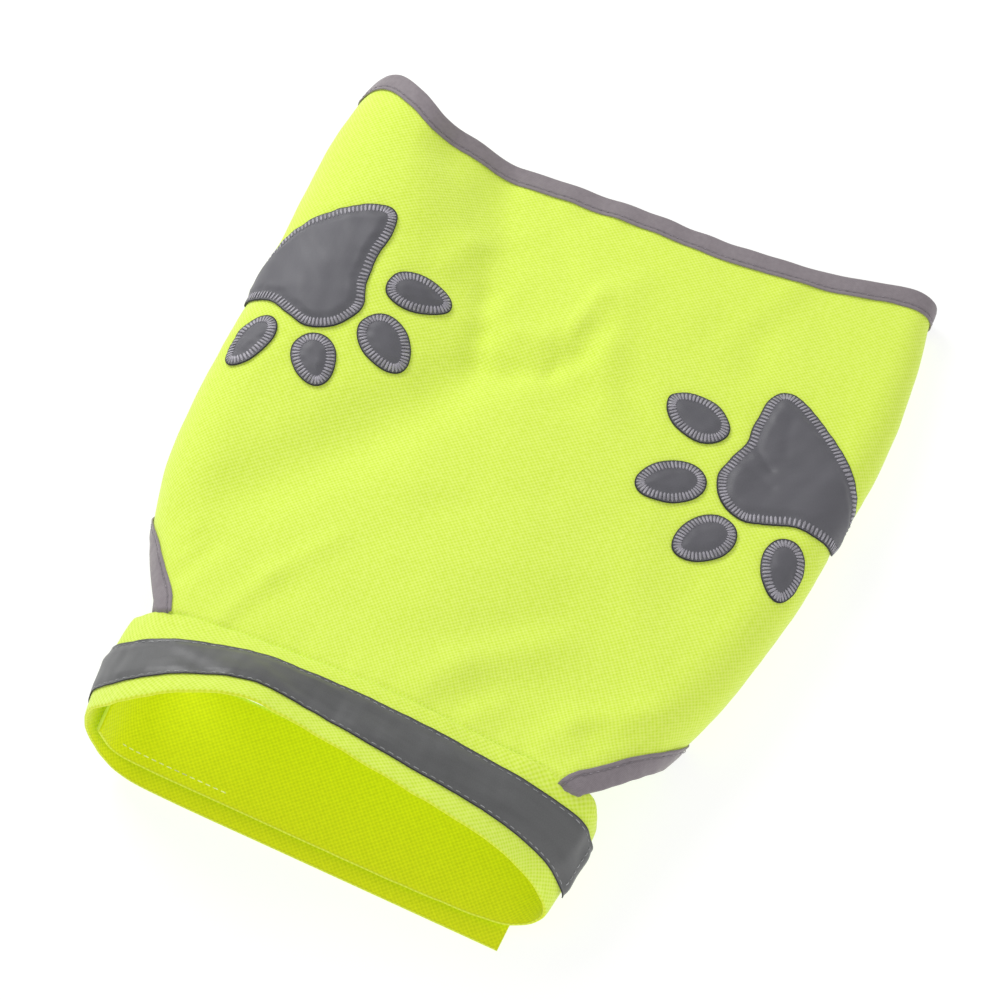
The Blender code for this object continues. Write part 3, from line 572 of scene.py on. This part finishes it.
half = np.linspace(0, 1, 201)
density = np.where((half > FOLD_FROM) & (half < FOLD_TO), FOLD_FINE, 1.0)
spread = np.concatenate([[0], np.cumsum((density[1:] + density[:-1]) / 2)])
spread /= spread[-1]


def body_place(u, v):
    share = np.sign(u - 0.5) * np.interp(np.abs(2 * u - 1), spread, half)
    front, rear = cut_y(share)
    front = front - SEAM_TUCK * (1 - ease((np.abs(share) - 0.35) / 0.02))
    y = front + (rear - front) * v
    return cloth_point(share, y), np.stack([share * HALF_GIRTH, y], -1)


body = finish_mesh("body_cloth", laid_grid("body_cloth", BODY_COLUMNS, BODY_ROWS, body_place), HI_VIS,
                   ["body_panel"])
thicken(body, CLOTH)

# -------- hem and armhole bindings
# A mauve-grey ribbon folded over each raw edge and sewn through near its inner edge. It is a little
# satiny, and the seam pulls it into small puckers.

BINDING_NEAR, BINDING_WALL, STITCH_INSET = 0.35, 0.7, 7.8
# The ribbon darkens along its sewn row: painted shade in the seam's groove.
BINDING_CLOTH = cloth_material(
    "binding_ribbon", (0.330, 0.290, 0.312), (0.225, 0.195, 0.213), 0.0008, 0.00003, 0.55, 0.25, 0.0, 0.25,
    seam_shade_line=STITCH_INSET,
)


def binding_loop(steps):
    """The folded ribbon's cross-section: distance in from the edge, and height above the cloth's face."""
    near, far, under = BINDING_NEAR, BINDING_NEAR + BINDING_WALL, -CLOTH
    deep = np.linspace(BINDING_WIDTH, 0, steps)
    middle, reach = under / 2, far - under / 2
    turn = np.linspace(math.pi / 2, -math.pi / 2, 9)[1:-1]
    loop = [(BINDING_WIDTH + 0.1, far - 0.3)] + [(d, far) for d in deep]
    loop += [(-reach * math.cos(a) * 0.75, middle + reach * math.sin(a)) for a in turn]
    loop += [(d, under - far) for d in deep[::-1]] + [(BINDING_WIDTH + 0.1, under - far + 0.3)]
    loop += [(d, under - near) for d in deep]
    loop += [(-0.2, middle)]
    loop += [(d, near) for d in deep[::-1]]
    return np.array(loop + loop[:1])


BINDING_LOOP = binding_loop(9)


def edge_place(share, y, way_round, way_y, inset, out):
    """Point at a distance in from the edge point (share, y), at a height above the cloth."""
    length = np.where(share < 0, half_length(y, -1), half_length(y, 1))
    inward = np.maximum(inset, 0)
    point = cloth_point(share + inward * way_round / length, y + inward * way_y, out)
    back = cloth_point(share + 3 * way_round / length, y + 3 * way_y) - cloth_point(share, y)
    back /= np.linalg.norm(back, axis=-1, keepdims=True)
    return point + back * np.minimum(inset, 0)[..., None]


def binding_pucker(along, inset, seed):
    """How far the seam draws the ribbon in, and the small waves beside it."""
    groove = -0.30 * np.exp(-(((inset - STITCH_INSET) / 0.9) ** 2))
    waves = 0.16 * wander(along, inset * 0.6, seed, 5.5) + 0.14 * wander(along, inset * 0.3, seed + 2, 15.0)
    return (groove + waves * ease(inset / 2.5)) * (inset > -0.1)


def bind_edge(name, edge_of, columns, seed, node, flat):
    """Ribbon along an edge. edge_of gives its point and the way into the cloth, from 0 to 1 along it."""
    def place(u, v):
        inset, out = round_loop(v, BINDING_LOOP).T
        along = u * flat[1] / MM
        cloth = np.stack([along, inset * np.where(out > -CLOTH / 2, 1, -1)], -1)
        pucker = binding_pucker(along, inset, seed) * ease((out + CLOTH / 2) / 0.6)
        return edge_place(*edge_of(u), inset, out + pucker), cloth

    mesh = laid_grid(name, columns, len(BINDING_LOOP) - 1, place, closed=True)
    piece = finish_mesh(name, mesh, BINDING_CLOTH, [node])


def tube_threads(name, starts, ends, at, wide, high, material, sink=0.25):
    """Stitches: a flattened thread from each start to each end, bowed up between its holes."""
    rings, sides = 6, 6
    thread = bmesh.new()
    bmesh.ops.create_grid(thread, x_segments=rings - 1, y_segments=sides, size=0.5)
    thread.verts.ensure_lookup_table()
    spots = np.array([vertex.co[:2] for vertex in thread.verts]) + 0.5
    faces = np.array([[vertex.index for vertex in face.verts] for face in thread.faces])
    thread.free()
    t = spots[:, 0][None, :]
    turn = 2 * math.pi * spots[:, 1][None, :]
    thick = np.sqrt(np.maximum(1 - (2 * t - 1) ** 4, 0.02))
    run = ends - starts
    size = np.linalg.norm(run, axis=1, keepdims=True)
    side_way = np.stack([-run[:, 1], run[:, 0]], 1) / size
    flat = starts[:, None, :] + run[:, None, :] * t[..., None]
    flat = flat + side_way[:, None, :] * (np.cos(turn) * wide / 2 * thick)[..., None]
    out = high * (np.sin(turn) * 0.5 * thick + 0.5) - sink * (2 * t - 1) ** 2
    out = np.broadcast_to(out, flat.shape[:2])
    points = at(flat[..., 0].ravel(), flat[..., 1].ravel(), out.ravel())
    every = (faces + (np.arange(len(starts)) * len(spots))[:, None, None]).reshape(-1, faces.shape[1])
    mesh = bpy.data.meshes.new(name)
    mesh.from_pydata(((points + SHIFT) * MM).tolist(), [], every.tolist())
    weld_mesh(mesh, 0.002)
    finish_mesh(name, mesh, material)


def thread_material(name, colour, rough, sheen, glow=0.0):
    """Twisted polyester thread, with a twist that shows as fine bands."""
    made, tree, shader = new_material(name)
    place = add(tree, "TexCoord").outputs["Object"]
    twist, tone = (noise(tree, place, scale, 2.0, kind="3D") for scale in (2600.0, 180.0))
    share = ramp(tree, maths(tree, "MULTIPLY", twist, tone), 0.12, 0.4)
    mixed = blend(tree, share, tuple(0.45 * c for c in colour), colour)
    feed(tree, shader, Base_Color=mixed, Normal=raised(tree, twist, 0.6, 0.00005), Roughness=rough,
         Sheen_Weight=sheen)
    # painted light: an optional glow
    if glow:
        feed(tree, shader, Emission_Color=mixed, Emission_Strength=glow)
    return made


SEAM_THREAD = thread_material("seam_thread", (0.36, 0.32, 0.36), 0.5, 0.2)
SEAM_PITCH, SEAM_STITCH = 3.3, 2.2


def sew_edge(name, edge_of, length):
    """A row of stitches on the ribbon, near its inner edge."""
    along = (np.arange(int(length / SEAM_PITCH)) + 0.15) * SEAM_PITCH
    starts = np.stack([along, np.full(along.shape, STITCH_INSET)], 1)

    def at(along, inset, out):
        lift = BINDING_NEAR + BINDING_WALL + binding_pucker(along, inset, 0.0) + 0.05
        return edge_place(*edge_of(along / length), inset, lift + out)

    tube_threads(name, starts, starts + (SEAM_STITCH, 0.0), at, 0.5, 0.35, SEAM_THREAD)


def hem_edge(u):
    share = 2 * u - 1
    return share, cut_y(share)[1], np.zeros_like(u), -np.ones_like(u)


HEM_LENGTH = 630.0
bind_edge("hem_ribbon", hem_edge, 330, 0.0, "hem_binding", (0.0218, 0.630))
sew_edge("hem_stitches", hem_edge, HEM_LENGTH)

ARM_START = ARM_CUT[0][0] + 0.012
ARM_UNDER_COLLAR = (4.5, 8.7)  # how far the ribbon runs on under the strap, round and along


def arm_edge(side):
    """One armhole's edge from under the collar to the flap, as for the hem, and its length."""
    away = np.linspace(ARM_START, 1.0, 400)
    front, _ = cut_y(side * away)
    distance = away * half_length(front, side)
    hidden = np.linspace(1, 0.03, 30)
    distance = np.concatenate([distance[0] - ARM_UNDER_COLLAR[0] * hidden, distance])
    front = np.concatenate([front[0] - ARM_UNDER_COLLAR[1] * hidden, front])
    away = distance / half_length(front, side)
    run = run_along(np.stack([distance, front], 1))
    slope_round, slope_y = np.gradient(distance), np.gradient(front)
    size = np.hypot(slope_round, slope_y)
    known = np.stack([side * away, front, -side * slope_y / size, slope_round / size], 1)
    return lambda u: follow(u, run / run[-1], known).T, run[-1]


for side, word in ((-1, "left"), (1, "right")):
    edge_of, arm_length = arm_edge(side)
    bind_edge(f"armhole_ribbon_{word}", edge_of, 150, 1.0 + side, f"armhole_binding_{word}",
              (0.0218, arm_length * MM))
    sew_edge(f"armhole_stitches_{word}", edge_of, arm_length)

# -------- collar
# A doubled strap of the same cloth, sewn to the neck edge along the back and left as a free band in
# front of it. It stands open as a ring, and its two ends overlap under the neck.

COLLAR_WALL, NECK_GAP, COLLAR_ARCH, COLLAR_STEPS = 2.0, 0.7, 1.6, 16
# Front and rear edge of the strap's outer face at each station, from its free outer end round to its
# inner end. At the nine stations in "seam" the rear edge follows the neck cut, at a share of the way round.
COLLAR = dict(
    front_x=(92, 40, -10, -60, -86, -99, -104.5, -102, -89, -73, -56, -37, -12, 16, 45, 66, 82, 96, 104.5,
             104.5, 97, 84, 56, 20, -40, -78, -95, -100.5),
    front_y=(-196, -196, -196, -196, -195.2, -193, -191, -189, -186.5, -180, -172, -165.5, -164.5,
             -166.5, -168.5, -169.5, -170.5, -173, -176, -180, -184, -187, -188.5, -189, -189, -189, -189,
             -189),
    front_z=(0, 0, 0, 0, 1, 9, 25, 44, 61, 71, 75.5, 75, 68, 63.5, 58.5, 52.5, 44.5, 33, 20,
             11, 6.4, 4.8, 4.5, 4.5, 4.5, 4.8, 9, 26),
    rear_x=(92, 40, -10, -60, -86, -101, -108, -107.5, *[0] * 9, 105, 110,
            108, 101, 87, 56, 20, -40, -78, -95, -102),
    rear_y=(-148, -148, -148, -148, -147, -146, -144, -141, *[0] * 9, -133, -136,
            -139, -140, -140.5, -141, -141, -141, -141, -141, -141),
    rear_z=(0, 0, 0, 0, 1, 9, 24, 40, *[0] * 9, 37, 26,
            13, 7, 4.9, 4.5, 4.5, 4.5, 4.8, 9, 26),
    seam={8: -0.352, 9: -0.29, 10: -0.215, 11: -0.14, 12: -0.05, 13: 0.05, 14: 0.14, 15: 0.21, 16: 0.28},
)


def spline(rows, steps):
    """Open curve through the rows, with this many steps between two of them."""
    ends = np.vstack([2 * rows[0] - rows[1], rows, 2 * rows[-1] - rows[-2]])
    return np.vstack([curve_through((ends[k:len(ends) - 3 + k] for k in range(4)), steps), rows[-1]])


front_edge, rear_edge = (
    np.stack([COLLAR[f"{edge}_{axis}"] for axis in "xyz"], 1).astype(float) for edge in ("front", "rear")
)
for i, share in COLLAR["seam"].items():
    rear_edge[i] = base_point(share, cut_y(share)[0]) + (0, -NECK_GAP, (COLLAR_WALL - 1.2) / 2)
FRONT_LINE, REAR_LINE = spline(front_edge, COLLAR_STEPS), spline(rear_edge, COLLAR_STEPS)
for line in (FRONT_LINE, REAR_LINE):
    line[:, 2] = np.maximum(line[:, 2], 0)
MIDDLE_LINE = (FRONT_LINE + REAR_LINE) / 2
OUT_WAY = np.cross(np.gradient(MIDDLE_LINE, axis=0), REAR_LINE - FRONT_LINE)
OUT_WAY /= np.linalg.norm(OUT_WAY, axis=-1, keepdims=True)
STATION_RUN = run_along(MIDDLE_LINE)
COLLAR_LENGTH = STATION_RUN[-1]
STATION_NUMBER = np.arange(len(STATION_RUN)) / COLLAR_STEPS


def collar_point(run, across, out):
    """Point of the strap: distance along it, share of its width from the rear edge, height above its face."""
    rear, front, way = (follow(run, STATION_RUN, line) for line in (REAR_LINE, FRONT_LINE, OUT_WAY))
    arch = COLLAR_ARCH * 4 * across * (1 - across) * ease((rear[..., 2] - 8) / 20)
    across = across[..., None]
    return rear * (1 - across) + front * across + way * (arch + out)[..., None]


COLLAR_WIDTH = 48.0
# On the strap's flat pattern the inner face follows the outer one: its middle, and the distance from
# there over which its colours end
PATTERN_END, STRAP_INNER_MIDDLE, STRAP_INNER_REACH = 2.05, 72.6, (0.0240, 0.0252)
# The inner face's own colours are painted shade and bounce light inside the ring.
COLLAR_CLOTH = cloth_material(
    "collar_cloth", (0.76, 0.91, 0.165), (0.59, 0.78, 0.04), 0.0023, 0.00016, 0.75, 0.30, 0.17,
    inside=((0.70, 0.80, 0.003), (0.88, 0.96, 0.008)),
)


def collar_loop():
    """The doubled strap's cross-section: share of its width, and height from its outer face."""
    rim, radius = 0.012, 0.75
    across = np.linspace(rim, 1 - rim, 25)
    turn = np.linspace(math.pi / 2, -math.pi / 2, 7)[1:-1]
    sink = 0.25 * (1 - np.minimum(np.minimum(across, 1 - across) / 0.06, 1)) ** 2
    round_off = np.stack([radius / COLLAR_WIDTH * np.cos(turn), radius * np.sin(turn)], 1)
    loop = np.vstack([
        np.stack([across, -sink], 1), (1 - rim, -COLLAR_WALL / 2) + round_off,
        np.stack([across, sink - COLLAR_WALL], 1)[::-1], (rim, -COLLAR_WALL / 2) - round_off,
    ])
    return np.vstack([loop, loop[:1]])


COLLAR_LOOP = collar_loop()


def collar_pucker(run, across):
    """Small unevenness of the strap's two faces, kept off its ends' hook and loop."""
    free = ease((run - 150) / 40) * (1 - ease((run - 560) / 40))
    waves = 0.22 * wander(run, across * 20, 2.9, 19.0) + 0.10 * wander(run, across * 30, 0.9, 8.0)
    edge = 0.20 * wander(run, across * 8, 6.1, 9.0) * np.exp(-np.minimum(across, 1 - across) * 12)
    return (waves + edge) * free


# Along the neck seam the strap's rear edge lies on the cloth, and its right corner also goes over the end of
# the armhole's ribbon. Each row is a station and the stations over which the change runs.
SEWN_FROM, SEWN_TO, CORNER_FROM, OVER_RIBBON = (7.2, 0.8), (16.8, 0.7), (15.6, 0.7), 0.7
# Share of the width that lies so, how much its outer and inner faces rise, and how far it reaches back
LAP_SHARE, LAP_OUTER, LAP_INNER, LAP_BACK = 0.15, 0.5, 1.3, 0.042


def over_cloth(run, across):
    """How much of the strap's rear edge lies on the body cloth here."""
    station = np.interp(run, STATION_RUN, STATION_NUMBER)
    sewn, unsewn, corner = (
        ease((station - start) / over) for start, over in (SEWN_FROM, SEWN_TO, CORNER_FROM)
    )
    return sewn * (1 - unsewn) * (1 + OVER_RIBBON * corner) * np.clip(1 - across / LAP_SHARE, 0, 1)


def collar_place(u, v):
    across, out = round_loop(v, COLLAR_LOOP).T
    run = u * COLLAR_LENGTH
    over = over_cloth(run, across)
    out = out + over * np.where(out < -COLLAR_WALL / 2, LAP_INNER, LAP_OUTER)
    point = collar_point(run, across - LAP_BACK * over, out + collar_pucker(run, across))
    return point, np.stack([run, np.where(v < 0.5, across, PATTERN_END - across) * COLLAR_WIDTH], -1)


collar = finish_mesh(
    "collar_strap", laid_grid("collar_strap", 420, len(COLLAR_LOOP) - 1, collar_place, closed=True),
    COLLAR_CLOTH, ["collar_band"],
)

# -------- collar tape
# Grey retroreflective tape, sewn down along both edges with pale thread. Its cut end on the right
# has one row of stitches across it and stands a little off the strap.

TAPE = dict(
    station=(5, 7, 9, 11, 13, 16, 18.34), rear=(0.32, 0.35, 0.32, 0.25, 0.21, 0.20, 0.20),
    front=(0.82, 0.82, 0.80, 0.78, 0.79, 0.77, 0.79),
)
TAPE_WIDTH, TAPE_WALL, TAPE_GAP, TAPE_END_RISE = 25.0, 0.45, 0.3, 1.2
TAPE_STITCH_IN = 1.6  # the rows run this far in from the tape's edges
TAPE_FROM, TAPE_TO = np.interp((5, 18.333), STATION_NUMBER, STATION_RUN)


def reflective_material(name, colour, streak, rough, wide=None):
    """Glass-bead fabric: fine bright grains on a smooth grey film, with faint soft streaks.

    wide is the width of a tape along whose two edges a thin dark line of painted shadow is laid.
    """
    made, tree, shader = new_material(name)
    cloth = add(tree, "UVMap", {"uv_map": "cloth"}).outputs[0]
    beads = noise(tree, cloth, 1900.0, 1.0)
    drawn = add(tree, "Mapping", None, Vector=cloth, Scale=(0.25, 1.0, 1.0)).outputs[0]
    streaks = noise(tree, drawn, 70.0, 4.0, 0.6)
    share = ramp(tree, maths(tree, "MULTIPLY_ADD", beads, 0.5, streaks), 0.45, 1.05)
    film = blend(tree, share, *(tuple(c * (1 + part) for c in colour) for part in (-streak, streak)))
    # painted shadow: a thin near-black line along both edges of the tape
    if wide:
        away = from_line(tree, cloth, wide / 2)
        cut = ramp(tree, away, (wide / 2 - 0.75) * MM, (wide / 2 - 0.35) * MM)
        film = blend(tree, cut, film, (0.012, 0.012, 0.013))
    feed(tree, shader, Base_Color=film, Roughness=ramp(tree, streaks, 0.3, 0.7, rough - 0.06, rough + 0.08),
         Normal=raised(tree, beads, 0.5, 0.00003), Specular_IOR_Level=0.6, Sheen_Weight=0.12)
    return made


REFLECTIVE = reflective_material("reflective_tape", (0.106, 0.108, 0.109), 0.22, 0.42, wide=TAPE_WIDTH)

# Slanting creases that the strap's curl leaves in the tape: distance from its left end and from its rear
# edge for both ends of each, height, width
TAPE_CREASES = (
    (30, 4, 52, 21, 0.5, 2.5), (60, 2, 92, 22, -0.5, 4), (100, 6, 128, 22, 0.35, 4),
    (185, 20, 210, 5, 0.3, 4), (262, 4, 280, 21, -0.35, 4),
)


def tape_height(run, across, from_rear):
    """Height of the tape over the strap: drawn down at its stitches, free at its cut end."""
    from_edge = np.minimum(from_rear, TAPE_WIDTH - from_rear)
    puff = 0.35 * ease((from_edge - TAPE_STITCH_IN) / 4.0)
    puff += 0.16 * wander(run, from_rear, 1.9, 17.0) * ease(from_edge / 5)
    groove = -0.22 * np.exp(-(((from_edge - TAPE_STITCH_IN) / 0.7) ** 2))
    ripple = 0.10 * wander(run, from_rear * 0.16, 3.3, 6.0)
    ripple += ridges(TAPE_CREASES, run - TAPE_FROM, from_rear) * ease(from_edge / 4)
    end = TAPE_END_RISE * ease((run - TAPE_TO + 9) / 9)
    return TAPE_GAP + TAPE_WALL + 0.1 + puff + groove + ripple + end + collar_pucker(run, across)


def tape_at(run, from_rear, out):
    """Point of the tape: distance along the strap, distance from the tape's rear edge, height over it."""
    station = np.interp(run, STATION_RUN, STATION_NUMBER)
    rear, front = (through(station, TAPE["station"], TAPE[key]) for key in ("rear", "front"))
    across = rear + (front - rear) * from_rear / TAPE_WIDTH
    return collar_point(run, across, tape_height(run, across, from_rear) + out)


def tape_place(u, v):
    run, from_rear = TAPE_FROM + (TAPE_TO - TAPE_FROM) * u, v * TAPE_WIDTH
    return tape_at(run, from_rear, 0.0), np.stack([run, from_rear], -1)


tape = finish_mesh("reflective_tape", laid_grid("reflective_tape", 240, 50, tape_place, flip=True),
                   REFLECTIVE, ["collar_tape"])
# Near-black finish for the rim faces of the tape and motifs, and the motifs' outer band: painted shadow along
# their edges.
EDGE_SHADOW_CLOTH = reflective_material("reflective_edge_shadow", (0.022, 0.022, 0.024), 0.3, 0.8)
thicken(tape, TAPE_WALL, EDGE_SHADOW_CLOTH)

PALE_THREAD = thread_material("pale_thread", (0.55, 0.56, 0.57), 0.45, 0.3)
TAPE_PITCH, TAPE_STITCH = 3.8, 2.7
TAPE_END_ROW = TAPE_TO - 4.2
rows = np.array([
    (run, inset) for inset in (TAPE_STITCH_IN, TAPE_WIDTH - TAPE_STITCH_IN)
    for run in np.arange(TAPE_FROM + 2, TAPE_TO - 6, TAPE_PITCH)
])
lows = np.arange(TAPE_STITCH_IN, TAPE_WIDTH - TAPE_STITCH_IN - 2, TAPE_PITCH * 0.8)
end_row = np.array([(TAPE_END_ROW, low) for low in lows])
ends = np.vstack([rows + (TAPE_STITCH, 0), end_row + (0, TAPE_STITCH * 0.8)])
tube_threads("tape_stitches", np.vstack([rows, end_row]), ends, tape_at, 0.42, 0.3, PALE_THREAD)

# A short row inside the strap near its inner end, which holds the fastener, in thread of the cloth's colour
INNER_STITCH_SHARE, INNER_ROW = 0.90, (72.0, 22.0)  # place across, and both ends from the strap's inner end
# The thread glows: painted light that keeps it pale in the strap's shade.
GREEN_THREAD = thread_material("green_thread", (0.90, 0.97, 0.42), 0.5, 0.3, glow=0.35)


def strap_inside(run, across_mm, out):
    across = across_mm / COLLAR_WIDTH
    return collar_point(run, across, collar_pucker(run, across) - COLLAR_WALL - 0.05 - out)


inner_runs = np.arange(COLLAR_LENGTH - INNER_ROW[0], COLLAR_LENGTH - INNER_ROW[1], TAPE_PITCH)
inner_rows = np.array([(run, INNER_STITCH_SHARE * COLLAR_WIDTH) for run in inner_runs])
tube_threads("strap_inner_stitches", inner_rows, inner_rows + (TAPE_STITCH, 0.0), strap_inside, 0.5, 0.3,
             GREEN_THREAD)

# -------- paw motifs
# Each paw is a pad and four toes cut from soft reflective fabric over a thin filling, laid on the
# back and edged with close bars of silver thread that sink their rims and let the middles puff.

MOTIF_GAP, MOTIF_WALL, RIM_LEFT = 0.35, 0.7, 0.5
STITCH_WIDTH, STITCH_PITCH, BAR_WIDTH, BAR_HEIGHT, BAR_SINK = 4.6, 1.95, 1.25, 0.5, 0.12
MOTIF_CLOTH = reflective_material("reflective_motif", (0.112, 0.110, 0.126), 0.10, 0.55)
SILVER_THREAD = thread_material("silver_thread", (0.50, 0.48, 0.54), 0.38, 0.4)
PUFF = dict(pad=1.2, toe=0.8)
RINGS_AND_STEPS = dict(pad=(34, 200), toe=(14, 110))
PAD_CREASES = {
    -1: ((16, 24, 5, 27, -0.9, 2.5), (4, 30, -8, 31, -0.6, 3)),
    1: ((14, -24, 12, -6, -0.8, 2), (22, -14, 16, 2, -0.6, 2.5), (-8, -26, 2, -12, -0.4, 3)),
}


def inward_line(outline, inset):
    """The outline moved in by a distance, and closed."""
    along = np.roll(outline, -1, axis=0) - np.roll(outline, 1, axis=0)
    along /= np.linalg.norm(along, axis=1, keepdims=True)
    way = np.stack([-along[:, 1], along[:, 0]], 1)
    middle = outline.mean(0)
    if ((middle - outline) * way).sum() < 0:
        way = -way
    moved = outline + way * inset
    return np.vstack([moved, moved[:1]])


def motif_height(kind, flat, outline, side):
    """Height of a motif's face over the cloth: low under the stitches, puffed and creased inside them."""
    away = np.linalg.norm(flat[:, None, :] - outline[None, ::2, :], axis=-1).min(1)
    inner = ease((away - STITCH_WIDTH * 0.75) / 5.0)
    puff = PUFF[kind[:3]] * inner
    puff += 0.14 * wander(flat[:, 0], flat[:, 1], 2.0, 9.0) * inner
    puff += 0.16 * wander(flat[:, 0], flat[:, 1], 7.0, 4.5) * np.exp(-((away - 5.0) / 2.5) ** 2)
    if kind == "pad":
        puff += ridges(PAD_CREASES[side], flat[:, 0], flat[:, 1]) * inner
    return MOTIF_GAP + MOTIF_WALL + 0.1 + puff


for side, place_round, place_y in zip(*PAW_PLACE.values()):
    word = "left" if side < 0 else "right"

    def lay(along, across, out):
        flat = along[:, None] * TOE_WAY + across[:, None] * ACROSS_WAY
        around, y = place_round + flat[:, 0], place_y + flat[:, 1]
        return cloth_point(side * around / half_length(y, side), y, out)

    for kind, outline, middle in PAWS[side]:
        rings, steps = RINGS_AND_STEPS[kind[:3]]
        closed_line = inward_line(outline, 0.0)

        def place(u, v):
            rim = round_loop(u, closed_line)
            depth = np.interp(v, (0, 1 / rings, 1), (0, RIM_LEFT / np.hypot(*(outline - middle).T).mean(), 1))
            flat = middle + (rim - middle) * (1 - depth)[:, None]
            out = motif_height(kind, flat, outline, side)
            return lay(flat[:, 0], flat[:, 1], out), flat + (0.0, 200.0 * side)

        node = f"paw_{kind}_{word}" if kind == "pad" else f"paw_toe_{word}_{kind[-1]}"
        mesh = laid_grid(f"motif_{kind}_{word}", steps, rings, place)
        # painted shadow: the outer ring of faces, outside the stitches, takes the near-black rim material
        for face in mesh.polygons[:steps]:
            face.material_index = 1
        weld_mesh(mesh, 0.005, closed=False)
        piece = finish_mesh(f"motif_{kind}_{word}", mesh, MOTIF_CLOTH, [node])
        thicken(piece, MOTIF_WALL, EDGE_SHADOW_CLOTH)

        run = run_along(closed_line)
        count = int(run[-1] / STITCH_PITCH)
        spots = np.arange(count) * run[-1] / count
        rim, inner = (follow(spots, run, inward_line(outline, inset)) for inset in (RIM_LEFT, STITCH_WIDTH))

        def on_motif(along, across, out):
            flat = np.stack([along, across], 1)
            return lay(along, across, motif_height(kind, flat, outline, side) - 0.05 + out)

        tube_threads(f"edging_{kind}_{word}", rim, inner, on_motif, BAR_WIDTH, BAR_HEIGHT, SILVER_THREAD,
                     BAR_SINK)

# -------- hook and loop
# Strips of hook tape and loop tape under the belly and under the neck, in the cloth's colour. Only
# their edges can be seen, so the solids stay and get a looped finish.


def fastener_material():
    made, tree, shader = new_material("hook_and_loop")
    place = add(tree, "TexCoord").outputs["Object"]
    loops = add(tree, "TexVoronoi", None, Vector=place, Scale=1100.0).outputs["Distance"]
    both = maths(tree, "ADD", loops, noise(tree, place, 600.0, 4.0, kind="3D"))
    tone = blend(tree, ramp(tree, both, 0.3, 1.2), (0.38, 0.55, 0.01), (0.62, 0.82, 0.05))
    feed(tree, shader, Base_Color=tone, Normal=raised(tree, both, 1.0, 0.0004), Roughness=0.9,
         Sheen_Weight=0.4)
    return made


FASTENER = fastener_material()
for node in ("belly_loop_strip", "belly_hook_strip", "collar_loop_strip", "collar_hook_strip"):
    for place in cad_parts[node].material_slots:
        place.material = FASTENER

# -------- table top, light and camera
# A plain white surface under soft studio light that comes mainly from the upper left.

surface = bmesh.new()
bmesh.ops.create_grid(surface, x_segments=1, y_segments=1, size=4.0)
bmesh.ops.translate(surface, verts=surface.verts, vec=(0, 0, -0.0003))
floor_mesh = bpy.data.meshes.new("floor")
surface.to_mesh(floor_mesh)
surface.free()
floor_paint, floor_tree, floor_shader = new_material("white_table")
feed(floor_tree, floor_shader, Base_Color=(0.35, 0.35, 0.35, 1), Emission_Color=(1, 1, 1, 1),
     Emission_Strength=0.76, Roughness=0.9, Specular_IOR_Level=0.1)
floor_mesh.materials.append(floor_paint)
floor = new_object("floor", floor_mesh)

world = bpy.data.worlds.new("studio")
world.use_nodes = True
feed(world.node_tree, world.node_tree.nodes["Background"], Color=(1, 1, 1, 1), Strength=0.49)
bpy.context.scene.world = world
bpy.context.scene.view_settings.view_transform = "Standard"


def add_light(name, place, size, power):
    """Square softbox that faces the vest."""
    lamp = bpy.data.lights.new(name, "AREA")
    lamp.shape, lamp.size, lamp.energy = "SQUARE", size, power
    holder = new_object(name, lamp)
    holder.location = place
    toward = -holder.location.normalized()
    holder.rotation_euler = toward.to_track_quat("-Z", "Y").to_euler()


add_light("key_softbox", (-1.15, 0.75, 1.05), 0.9, 15.5)
add_light("fill_softbox", (1.5, -0.5, 1.2), 1.4, 4.0)
add_light("front_softbox", (0.35, -1.4, 0.9), 0.8, 3.0)

CAMERA_TURN, CAMERA_HEIGHT, CAMERA_AWAY = math.radians(25.5), math.radians(60.5), 1.150
camera_data = bpy.data.cameras.new("camera")
camera_data.lens, camera_data.sensor_width = 90.0, 36.0
camera = new_object("camera", camera_data)
back = np.array([
    math.sin(CAMERA_TURN) * math.cos(CAMERA_HEIGHT), -math.cos(CAMERA_TURN) * math.cos(CAMERA_HEIGHT),
    math.sin(CAMERA_HEIGHT),
])
camera.location = SHIFT * MM + back * CAMERA_AWAY
camera.rotation_euler = (math.pi / 2 - CAMERA_HEIGHT, 0.0, CAMERA_TURN)
bpy.context.scene.camera = camera
